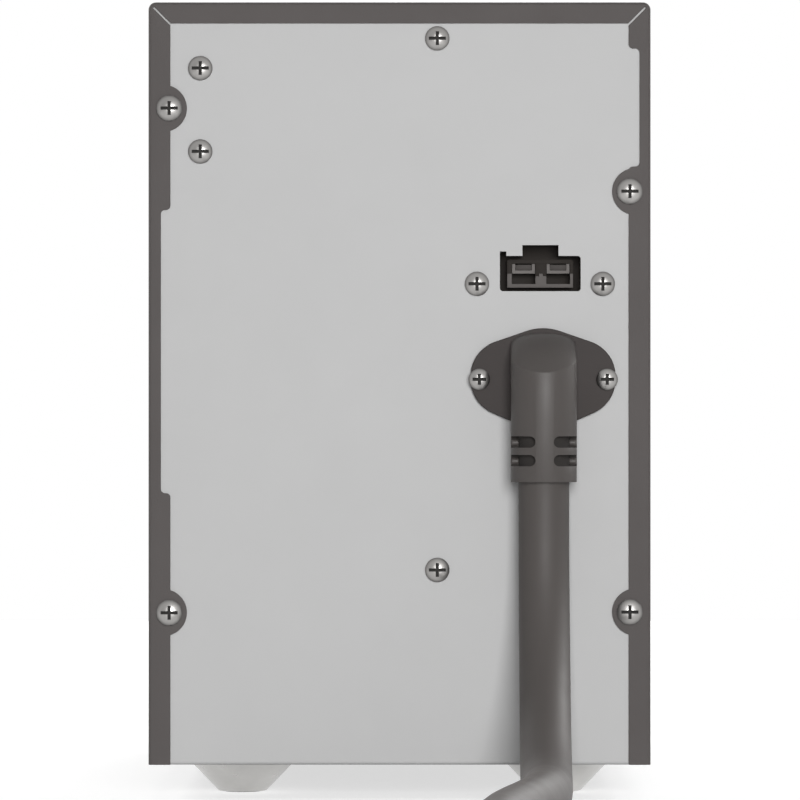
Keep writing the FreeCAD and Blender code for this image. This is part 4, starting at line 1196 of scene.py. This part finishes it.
@dataclass
class BatterySocket:
    """The socket in the rear panel: a shroud, a nose with two poles and its screw ears."""

    outline: SocketShape  # The keyed outline.
    rear: float = 0.0013  # The shroud's rear face, from the panel.
    depth: float = 0.044  # The housing's depth.
    well: float = 0.016  # How deep the shroud is open.
    wall: float = 0.0022  # The shroud's wall.
    nose_width: float = 0.0283
    nose_height: float = 0.01215
    nose_front: float = 0.005  # The nose's face, from the panel.
    pitch: float = 0.01475  # The distance between the poles.
    pole_middle: float = 0.06035  # The middle between the poles.
    collar_proud: float = 0.0012  # How far the collar stands out of the nose.
    collar_height: float = 0.0061
    post_width: float = 0.0016  # The width of its post's narrow top.
    notch_level: float = 0.0050  # Where that top starts.
    pocket_width: float = 0.0101  # The width of the pocket round a contact.
    pocket_floor: float = 0.0017  # The pocket's floor over the nose's underside.
    pocket_height: float = 0.0087
    pocket_depth: float = 0.009
    contact_width: float = 0.0097  # The width of a contact strip.
    contact_sheet: float = 0.0013  # The strip's thickness.
    contact_rise: float = 0.0041  # The height of its turned-up sides.
    contact_tail: float = 0.009  # How far it stands out behind the housing.
    guard_height: float = 0.0025  # The height of the guard between its sides.
    guard_thick: float = 0.0012  # The guard's thickness.
    guard_back: float = 0.0022  # How far behind the nose's face the guard stands.
    ear_height: float = 0.011  # The height of the screw ears.
    ear_thick: float = 0.004  # The ears' thickness.
    ear_places: Pair = (0.033, 0.0866)  # The ears' screws, across.
    ear_z: float = 0.219  # Their height.
    ear_hole: float = 0.0022  # The radius of their holes.
    collar_sink: float = 0.001  # How deep the collar sits in the nose.
    contact_inset: float = 0.001  # How far behind the nose's face a contact starts.
    nose_round: float = 0.001  # The radius of the nose's corners.
    pocket_round: float = 0.0005  # The radius of a pocket's corners.
    contact_edge: float = 0.0002  # The round of a contact's edges.
    edge: float = 0.00015  # The round of the mouldings' edges.

    @property
    def poles(self) -> Pair:
        """The middles of the two poles, left then right."""
        return (self.pole_middle - self.pitch / 2, self.pole_middle + self.pitch / 2)

    @property
    def nose_low(self) -> float:
        """The height of the nose's underside."""
        return self.outline.z - self.nose_height / 2

    @property
    def contact_level(self) -> float:
        """The height of a contact strip's underside."""
        return self.nose_low + self.pocket_floor + self.pocket_height - self.contact_rise - CLEAR

    def ear(self, x: float) -> list[Piece]:
        """Make the plate and the round end of one screw ear.

        Args:
            x: The ear's screw.

        Returns:
            The plate and the end.
        """
        low = self.ear_z - self.ear_height / 2
        plate = Bench.slab("ear", (x, self.outline.x), (self.rear, self.rear + self.ear_thick),
                           (low, low + self.ear_height))
        return [plate, Bench.round_bar("ear_boss", at(x, self.rear, self.ear_z), Heading.FRONT,
                                       self.ear_thick, self.ear_height / 2, sides=32)]

    def pocket(self, middle: float) -> list[Piece]:
        """Make the tools for one pocket and for its contact's tail.

        Args:
            middle: The pole's middle.

        Returns:
            The tools.
        """
        half = self.pocket_width / 2
        low = self.nose_low + self.pocket_floor
        floor = self.nose_front + self.pocket_depth
        pocket = Bench.slab("pocket", (middle - half, middle + half), (self.nose_front - BEYOND, floor),
                            (low, low + self.pocket_height))
        Bench.round_edges(pocket, self.pocket_round, 2, runs_through)
        tail = self.contact_width / 2 + CLEAR
        level = self.contact_level
        return [pocket, Bench.slab("tail", (middle - tail, middle + tail),
                                   (floor - BEYOND, self.rear + self.depth + BEYOND),
                                   (level - CLEAR, level + self.contact_sheet + CLEAR))]

    def housing(self) -> Piece:
        """Mould the housing with its well, nose and pockets.

        Returns:
            The housing.
        """
        shape = self.outline
        rear = self.rear
        body = shape.block("socket_housing_moulding", self.wall, rear, rear + self.depth)
        for x in self.ear_places:
            Bench.join(body, self.ear(x))
        well = shape.block("well", 0.0, rear - BEYOND, rear + self.well)
        left = shape.x - self.nose_width / 2
        nose = Bench.slab("nose", (left, left + self.nose_width),
                          (self.nose_front, rear + self.well + BEYOND),
                          (self.nose_low, self.nose_low + self.nose_height))
        Bench.round_edges(nose, self.nose_round, 4, runs_through)
        Bench.join(Bench.cut(body, [well]), [nose])
        tools = [tool for middle in self.poles for tool in self.pocket(middle)]
        tools += [Bench.round_bar("ear_hole", at(x, rear - BEYOND, self.ear_z), Heading.FRONT, 5 * BEYOND,
                                  self.ear_hole, sides=24) for x in self.ear_places]
        return Bench.soften(Bench.cut(body, tools), self.edge, 2, 50.0)

    def collar(self) -> Piece:
        """Mould the low frame round the lower half of both poles, with a post between them.

        Returns:
            The frame.
        """
        low = self.nose_low
        edge = self.nose_width / 2 - CLEAR
        face = self.nose_front
        middle = self.outline.x
        through = (face - 2 * BEYOND, face + 2 * BEYOND)
        top = low + self.collar_height + BEYOND
        piece = Bench.slab("pole_collar", (middle - edge, middle + edge),
                           (face - self.collar_proud, face + self.collar_sink),
                           (low + CLEAR, low + self.collar_height))
        half = self.pocket_width / 2
        tools = [Bench.slab("collar_hollow", (pole - half, pole + half), through,
                            (low + self.pocket_floor, top)) for pole in self.poles]
        notch = (self.pitch - self.pocket_width - self.post_width) / 2 + 2 * CLEAR
        for hand in HANDS:
            inner = self.pole_middle + hand * self.post_width / 2
            tools.append(Bench.slab("post_notch", (inner, inner + hand * notch), through,
                                    (low + self.notch_level, top)))
        return Bench.soften(Bench.cut(piece, tools), self.edge)

    def contact(self, name: str, middle: float) -> Piece:
        """Bend one contact strip with its turned-up sides.

        Args:
            name: The contact's name.
            middle: The pole's middle.

        Returns:
            The contact.
        """
        half = self.contact_width / 2
        level = self.contact_level
        front = self.nose_front + self.contact_inset
        end = self.nose_front + self.pocket_depth - CLEAR
        strip = Bench.slab(name, (middle - half, middle + half),
                           (front, self.rear + self.depth + self.contact_tail),
                           (level, level + self.contact_sheet))
        Bench.join(strip, [
            Bench.slab("side", (middle + hand * half, middle + hand * (half - self.contact_sheet)),
                       (front, end), (level, level + self.contact_rise)) for hand in HANDS])
        return Bench.soften(strip, self.contact_edge)

    def guards(self) -> Piece:
        """Mould the guards that stand inside the contact strips' sides.

        Returns:
            Both guards as one piece.
        """
        half = self.contact_width / 2 - self.contact_sheet - CLEAR
        level = self.contact_level + self.contact_sheet
        start = self.nose_front + self.guard_back
        blocks = [Bench.slab("contact_guard", (middle - half, middle + half),
                             (start, start + self.guard_thick),
                             (level + CLEAR, level + self.guard_height)) for middle in self.poles]
        return Bench.group([Bench.soften(block, self.edge) for block in blocks])

    def build(self) -> None:
        """Build the socket and put it behind the rear panel."""
        # The housing's darker copy of the collar's grey is painted shade.
        for make, finish in ((self.housing, Finishes.SHADED_SOCKET), (self.collar, Finishes.COLLAR),
                             (self.guards, Finishes.GUARD)):
            Cabinet.mount(make(), finish, "socket_plastic", "socket_housing")
        for name, middle in zip(SIDES, self.poles):
            piece = self.contact("contact_%s_bent" % name, middle)
            Cabinet.mount(piece, Finishes.CONTACT, "contact_metal", "socket_contact_" + name)


@dataclass
class CornerFeet:
    """Four turned feet with rubber pads."""

    top_radius: float = 0.02345  # A foot's radius under the base.
    low_radius: float = 0.01035  # Its radius at the bottom.
    height: float = 0.014  # The height of the base.
    proud: float = 0.0003  # How far the pad stands out.
    pad_radius: float = 0.008
    pad_thick: float = 0.0022  # The pad's thickness.
    top_round: float = 0.0005  # The round of the foot's upper edge.
    low_round: float = 0.0006  # The round of its lower edge.
    pad_round: float = 0.0003  # The round of the pad's lower edge.
    x: float = 0.068  # The distance of each foot from the middle.
    # The place of the rear and the front feet, from the panel.
    rows: tuple[tuple[str, float], ...] = (("rear", 0.045), ("front", 0.338))

    def foot(self) -> Piece:
        """Turn one foot at the origin.

        Returns:
            The foot.
        """
        piece = Bench.round_bar("foot_pattern", Vector((0, 0, self.proud)), Heading.UP,
                                self.height - self.proud, self.low_radius, self.top_radius, sides=128)
        Bench.round_edges(piece, self.top_round, 3, on_level(self.height))
        Bench.round_edges(piece, self.low_round, 3, on_level(self.proud))
        Bench.pick(piece, "FACE", lambda m, n: n.z < -ALONG)
        bpy.ops.mesh.inset(thickness=self.low_radius - self.low_round - self.pad_radius - CLEAR)
        bpy.ops.mesh.extrude_region_move(TRANSFORM_OT_translate={"value": (0, 0, self.pad_thick + 2 * CLEAR)})
        return Bench.smooth(piece, 35.0)

    def pad(self) -> Piece:
        """Turn one pad at the origin.

        Returns:
            The pad.
        """
        piece = Bench.round_bar("pad_pattern", Vector((0, 0, 0)), Heading.UP, self.pad_thick,
                                self.pad_radius, sides=96)
        Bench.round_edges(piece, self.pad_round, 3, on_level(0))
        return Bench.smooth(piece, 35.0)

    def build(self) -> None:
        """Set a foot and a pad under each corner."""
        kinds = ((self.foot(), "turned_foot_", Finishes.FOOT, "foot_metal", "foot_"),
                 (self.pad(), "foot_rubber_", Finishes.PAD, "pad_rubber", "foot_pad_"))
        for row, y in self.rows:
            for side, hand in SIDES.items():
                corner = "%s_%s" % (row, side)
                for pattern, stem, finish, slot, node in kinds:
                    double = Bench.copy(pattern, stem + corner, at(hand * self.x, y, 0))
                    Cabinet.mount(double, finish, slot, node + corner)
        for pattern, *rest in kinds:
            bpy.data.objects.remove(pattern, do_unlink=True)


@dataclass
class FrontBezel:
    """The moulded front: a bowed shell with grooves, rails and a blank field."""

    width: float = 0.214
    low: float = 0.014  # Its lower edge.
    high: float = 0.339  # Its upper edge.
    rear: float = 0.3781  # Its edge at the front plate, from the panel.
    front: float = 0.410  # Its foremost point, from the panel.
    bow: float = 0.005  # How far its middle stands out.
    corner: float = 0.005  # The radius of its front edges.
    groove_x: float = 0.084  # The grooves' distance from the middle.
    groove_width: float = 0.0024  # Their width.
    groove_depth: float = 0.0012  # The depth of everything cut into the front.
    margin: float = 0.012  # What stays free at the edges.
    rail_count: int = 7  # The number of rails.
    rail_pitch: float = 0.011  # The distance from one rail to the next.
    rail_width: float = 0.004
    rail_low: float = 0.042  # The lowest rail's height.
    # The blank field's width, height and lower edge.
    blank: tuple[float, float, float] = (0.112, 0.036, 0.262)
    spare: float = 0.001  # What the bow takes off in front.
    edge: float = 0.0003  # The round of its other edges.

    def bowed(self, name: str, inset: float) -> Piece:
        """Make the round body that gives the front its bow.

        Args:
            name: The body's name.
            inset: How much smaller its radius is.

        Returns:
            The body.
        """
        half = self.width / 2
        radius = (half * half + self.bow * self.bow) / (2 * self.bow)
        start = at(0, self.front - radius, self.low - 5 * BEYOND)
        return Bench.round_bar(name, start, Heading.UP, self.high - self.low + 10 * BEYOND, radius - inset,
                               sides=1024)

    def tools(self) -> list[Piece]:
        """Make the tools for the grooves, the rails and the field, as deep as the bow leaves them.

        Returns:
            The tools.
        """
        ys = (self.front - self.bow - self.corner, self.front + BEYOND)
        half = self.groove_width / 2
        tools = [Bench.slab("groove", (hand * self.groove_x - half, hand * self.groove_x + half), ys,
                            (self.low + self.margin, self.high - self.margin)) for hand in HANDS]
        reach = self.groove_x - self.margin
        lows = [self.rail_low + index * self.rail_pitch for index in range(self.rail_count)]
        tools += [Bench.slab("rail", (-reach, reach), ys, (low, low + self.rail_width)) for low in lows]
        wide, tall, low = self.blank
        field = Bench.slab("field", (-wide / 2, wide / 2), ys, (low, low + tall))
        Bench.round_edges(field, self.corner, 6, runs_through)
        return [Bench.cut(tool, [self.bowed("floor", self.groove_depth)]) for tool in [*tools, field]]

    def build(self) -> None:
        """Build the bezel and put it in front of the front plate."""
        half = self.width / 2
        piece = Bench.slab("front_bezel_moulding", (-half, half), (self.rear, self.front + self.spare),
                           (self.low, self.high))
        Bench.combine(piece, "INTERSECT", [self.bowed("bow", 0.0)])
        edge = PANEL_Y + self.front - self.bow - 4 * CLEAR
        Bench.round_edges(piece, self.corner, 6, lambda m, d: m.y > edge and (
            abs(m.x) > half - CLEAR or m.z > self.high - CLEAR or m.z < self.low + CLEAR))
        Bench.soften(Bench.cut(piece, self.tools()), self.edge, 2, 50.0)
        Cabinet.mount(piece, Finishes.BEZEL, "bezel_plastic", "front_bezel")


@dataclass
class BatteryCable:
    """The cable and the plug on its end."""

    outline: SocketShape  # The keyed outline of its plug.
    socket: BatterySocket  # The socket that the plug fits.
    diameter: float = 0.0215  # The cable's thickness.
    length: float = 0.420  # Its length from the relief to the plug's grip.
    boot_length: float = 0.042  # The length of the plug's grip.
    boot_width: float = 0.039  # The grip's width.
    boot_height: float = 0.0206  # The grip's height.
    boot_round: float = 0.005  # The radius of its corners.
    boot_straight: float = 0.018  # The length of its straight block.
    boot_steps: int = 8  # The number of flats along its neck.
    boot_collar: float = 0.008  # The length of its round collar.
    boot_inset: float = 0.003  # How much smaller the neck's end is than the block.
    boot_shoulder: float = 0.0015  # The round of the block's rear edge.
    rib_count: int = 3  # The number of ribs on each side.
    rib_pitch: float = 0.005  # The distance from one rib to the next.
    rib_width: float = 0.0024  # The width of the groove between two.
    rib_depth: float = 0.0012  # The groove's depth.
    plug_length: float = 0.026  # The length of the plug's shell.
    plug_fit: float = 0.00035  # How much smaller the shell is than the socket's well.
    cavity_fit: float = 0.00025  # How much wider its cavity is than the socket's nose.
    cavity_depth: float = 0.018
    blade_width: float = 0.009
    blade_sheet: float = 0.0014  # A blade's thickness.
    blade_length: float = 0.013
    blade_round: float = 0.0005  # The round of its tip's edges.
    edge: float = 0.0003  # The round of the plug's edges.
    # The points that the cable's smooth line follows, from the panel.
    route: tuple[tuple[float, float, float], ...] = (
        (0.06115, -0.0161, 0.1348),
        (0.06115, -0.0161, 0.1009),
        (0.0612, -0.0266, 0.0687),
        (0.0610, -0.0465, 0.0414),
        (0.0606, -0.0739, 0.0214),
        (0.0602, -0.1062, 0.0109),
        (0.0590, -0.1500, 0.0109),
        (0.0530, -0.2050, 0.0109),
        (0.0435, -0.2620, 0.0109),
        (0.0370, -0.3150, 0.0109),
        (0.0345, -0.3610, 0.0109),
    )

    def run(self) -> Piece:
        """Lay the cable along its route on one smooth line.

        Returns:
            The cable.
        """
        line = bpy.data.curves.new("battery_cable_run", "CURVE")
        line.dimensions = "3D"
        spline = line.splines.new("NURBS")
        spline.points.add(len(self.route) - 1)
        for point, place in zip(spline.points, self.route):
            point.co = (*at(*place), 1.0)
        spline.order_u = 3
        spline.use_endpoint_u = True
        line.resolution_u = 16
        line.bevel_depth = self.diameter / 2
        line.bevel_resolution = 10
        line.use_fill_caps = True
        piece = bpy.data.objects.new("battery_cable_run", line)
        bpy.context.collection.objects.link(piece)
        return piece

    def settle(self, piece: Piece) -> Piece:
        """Move a piece that is modelled along +Y from the origin to the cable's end.

        Args:
            piece: The piece.

        Returns:
            The piece.
        """
        last = at(*self.route[-1])
        heading = last - at(*self.route[-2])
        turn = Matrix.Rotation(math.atan2(heading.y, heading.x) - math.pi / 2, 4, "Z")
        piece.data.transform(Matrix.Translation(last) @ turn)
        return piece

    def neck(self) -> Piece:
        """Mould the grip's collar and the neck that swells from it to the block.

        Returns:
            The neck.
        """
        half = self.boot_height / 2
        swell = self.boot_length - self.boot_straight
        piece = Bench.round_bar("plug_grip", Vector((0, 0, 0)), Heading.FRONT, self.boot_collar, half)
        Bench.pick(piece, "FACE", lambda m, n: n.y > ALONG)
        wide = (self.boot_width - self.boot_inset) / self.boot_height
        tall = (self.boot_height - self.boot_inset) / self.boot_height
        step = (swell - self.boot_collar + BEYOND) / self.boot_steps
        size = (1.0, 1.0)
        for index in range(1, self.boot_steps + 1):
            share = 0.5 - 0.5 * math.cos(math.pi * index / self.boot_steps)
            now = (1 + (wide - 1) * share, 1 + (tall - 1) * share)
            bpy.ops.mesh.extrude_region_move(TRANSFORM_OT_translate={"value": (0, step, 0)})
            bpy.ops.transform.resize(value=(now[0] / size[0], 1, now[1] / size[1]), center_override=(0, 0, 0))
            size = now
        Bench.clear()
        return piece

    def boot(self) -> Piece:
        """Mould the plug's grip: its neck and a ribbed block.

        Returns:
            The grip.
        """
        swell = self.boot_length - self.boot_straight
        half = self.boot_height / 2
        side = self.boot_width / 2
        piece = self.neck()
        block = Bench.slab("grip_block", (-side, side), (swell, self.boot_length), (-half, half),
                           from_panel=False)
        Bench.round_edges(block, self.boot_round, 6, runs_through)
        Bench.round_edges(block, self.boot_shoulder, 3, lambda m, d: abs(m.y - swell) < NEAR)
        starts = [swell + self.rib_width + index * self.rib_pitch for index in range(self.rib_count)]
        Bench.cut(block, [
            Bench.slab("rib", (hand * (side + BEYOND), hand * (side - self.rib_depth)),
                       (rear, rear + self.rib_width), (-2 * half, 2 * half), from_panel=False)
            for rear in starts for hand in HANDS])
        return self.settle(Bench.soften(Bench.join(piece, [block]), self.edge, 2, 45.0))

    def shell(self) -> Piece:
        """Mould the plug's shell, which goes into the socket and over its nose.

        Returns:
            The shell.
        """
        end = self.boot_length + self.plug_length
        piece = SocketShape(x=0.0, z=0.0).block("plug_shell", -self.plug_fit, self.boot_length, end)
        half = self.socket.nose_width / 2 + self.cavity_fit
        rise = self.socket.nose_height / 2 + self.cavity_fit
        Bench.cut(piece, [Bench.slab("cavity", (-half, half), (end - self.cavity_depth, end + BEYOND),
                                     (-rise, rise))])
        piece.data.transform(Matrix.Translation((0, -PANEL_Y, 0)))
        return self.settle(Bench.soften(piece, self.edge, 2, 45.0))

    def blade(self, name: str, middle: float) -> Piece:
        """Cut one flat blade.

        Args:
            name: The blade's name.
            middle: The pole's middle on the socket.

        Returns:
            The blade.
        """
        root = self.boot_length + self.plug_length - self.cavity_depth
        tip = root + self.blade_length
        level = self.socket.contact_level - self.outline.z - self.blade_sheet - CLEAR
        half = self.blade_width / 2
        x = middle - self.outline.x
        piece = Bench.slab(name, (x - half, x + half), (root, tip), (level, level + self.blade_sheet),
                           from_panel=False)
        Bench.round_edges(piece, self.blade_round, 2, lambda m, d: m.y > tip - NEAR)
        return self.settle(Bench.smooth(piece))

    def build(self) -> None:
        """Lay the cable and put its plug on."""
        run = Cabinet.mount(self.run(), Finishes.JACKET, "cable_jacket", "battery_cable")
        pieces = [Cabinet.mount(self.boot(), Finishes.PLUG, "plug_plastic", "plug_boot"),
                  Cabinet.mount(self.shell(), Finishes.PLUG, "plug_plastic", "plug_housing")]
        for name, middle in zip(SIDES, self.socket.poles):
            blade = self.blade("plug_contact_" + name, middle)
            pieces.append(Cabinet.mount(blade, Finishes.CONTACT, "contact_metal", "plug_blade_" + name))


@dataclass
class Studio:
    """A plain pale floor, soft light and a long lens."""

    distance: float = 2.6  # The camera's distance from the rear panel.
    frame_width: float = 0.341  # The width of what it sees at the rear panel.
    film_width: float = 36.0  # The width of its film, in millimetres.
    aim_x: float = 0.0002  # Where it aims, to the right.
    aim_z: float = 0.1695  # The height it aims at.
    floor_shade: float = 0.42  # The floor's own paint.
    floor_glow: float = 0.66  # How much whiter the floor looks than its paint.
    floor_radius: float = 1.9
    room_light: float = 0.1  # The room's own soft light.
    dark_wall: float = 0.55  # How much darker gloss sees the wall behind the camera.
    wall_from: float = 0.35  # How far towards that wall a reflection looks where it starts to darken.
    lamp_aim: float = 0.17  # The height that the lamps face.
    # Each lamp's name, place, size and power.
    lamps: tuple[tuple[str, tuple[float, float, float], float, float], ...] = (
        ("key_lamp", (0.25, -2.5, 0.5), 0.8, 45.5),
        ("left_lamp", (-2.2, 1.1, 1.5), 1.2, 62.0),
        ("right_lamp", (2.2, 1.1, 1.5), 1.2, 50.0),
        ("front_lamp", (0.3, 2.5, 1.1), 1.4, 34.0),
    )

    def stand(self, name: str, data: bpy.types.ID, place: Vector) -> Piece:
        """Stand a camera or a lamp in the studio.

        Args:
            name: Its name.
            data: Its settings.
            place: Where it stands.

        Returns:
            The object that holds it.
        """
        made = bpy.data.objects.new(name, data)
        made.location = place
        bpy.context.collection.objects.link(made)
        return made

    def camera(self) -> None:
        """Set up the camera straight behind the cabinet."""
        lens = bpy.data.cameras.new("long_lens")
        lens.sensor_width = self.film_width
        lens.lens = self.film_width * self.distance / self.frame_width
        lens.clip_start = 0.01
        camera = self.stand("long_lens", lens, at(self.aim_x, -self.distance, self.aim_z))
        camera.rotation_euler = (math.radians(90), 0, 0)
        bpy.context.scene.camera = camera

    def light(self) -> None:
        """Hang the soft lamps, which all face the cabinet."""
        for name, place, size, power in self.lamps:
            lamp = bpy.data.lights.new(name, "AREA")
            lamp.size = size
            lamp.energy = power
            aim = Vector((0, 0, self.lamp_aim)) - Vector(place)
            self.stand(name, lamp, Vector(place)).rotation_euler = aim.to_track_quat("-Z", "Y").to_euler()

    def floor(self) -> None:
        """Lay the pale floor, which looks white and keeps the cabinet's shadow."""
        Bench.clear()
        bpy.ops.mesh.primitive_circle_add(vertices=96, radius=self.floor_radius, fill_type="NGON")
        sheet = Bench.adopt("studio_floor")
        paint = bpy.data.materials.new("studio_floor")
        paint.use_nodes = True
        wiring = Wiring(paint.node_tree)
        wiring.feed(paint.node_tree.nodes["Principled BSDF"], {
            "Base Color": (self.floor_shade, self.floor_shade, self.floor_shade, 1),
            "Roughness": 0.9, "Specular IOR Level": 0.1, "Emission Color": (1, 1, 1, 1),
            "Emission Strength": wiring.work_out("MULTIPLY", wiring.seen(), self.floor_glow)})
        sheet.data.materials.append(paint)

    def wall_shade(self, wiring: Wiring) -> Wire:
        """Darken the wall behind the camera for gloss alone, so that metal shows its form.

        Args:
            wiring: The room's nodes.

        Returns:
            The strength of the white room.
        """
        heading = wiring.add("SeparateXYZ", {0: wiring.add("TexCoord").outputs["Generated"]})
        feeds = {"From Min": -self.wall_from, "From Max": -1.0, "To Max": self.dark_wall,
                 "Value": heading.outputs["Y"]}
        behind = wiring.add("MapRange", feeds, interpolation_type="SMOOTHSTEP")
        gloss = wiring.add("LightPath").outputs["Is Glossy Ray"]
        return wiring.work_out("SUBTRACT", 1.0, wiring.work_out("MULTIPLY", behind.outputs["Result"], gloss))

    def room(self) -> None:
        """Make the room white where the camera and the gloss see it, and softly bright elsewhere."""
        room = bpy.data.worlds.new("studio_room")
        room.use_nodes = True
        room.node_tree.nodes.clear()
        wiring = Wiring(room.node_tree)
        soft, white = (wiring.add("Background", {"Color": (1, 1, 1, 1), "Strength": strength}).outputs[0]
                       for strength in (self.room_light, self.wall_shade(wiring)))
        mix = wiring.add("MixShader", {0: wiring.seen(), 1: soft, 2: white})
        wiring.add("OutputWorld", {"Surface": mix.outputs[0]})
        bpy.context.scene.world = room

    def build(self) -> None:
        """Set up the whole studio."""
        self.camera()
        self.floor()
        self.room()
        self.light()
        bpy.context.scene.view_settings.view_transform = "Standard"
        log.info("studio ready")


def write_sizes() -> None:
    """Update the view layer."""
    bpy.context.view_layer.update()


def main() -> None:
    """Build the studio, then the cabinet's pieces in order, and report each."""
    logging.basicConfig(level=logging.INFO, format="%(name)s: %(message)s")
    Studio().build()
    outline = SocketShape()
    socket = BatterySocket(outline)
    for part in (BatteryCable(outline, socket), Cover(), CableEntry(), socket, RearScrews(), CornerFeet(),
                 FrontBezel()):
        part.build()
    Cabinet.dress_solids()
    write_sizes()


if __name__ == "__main__":
    main()
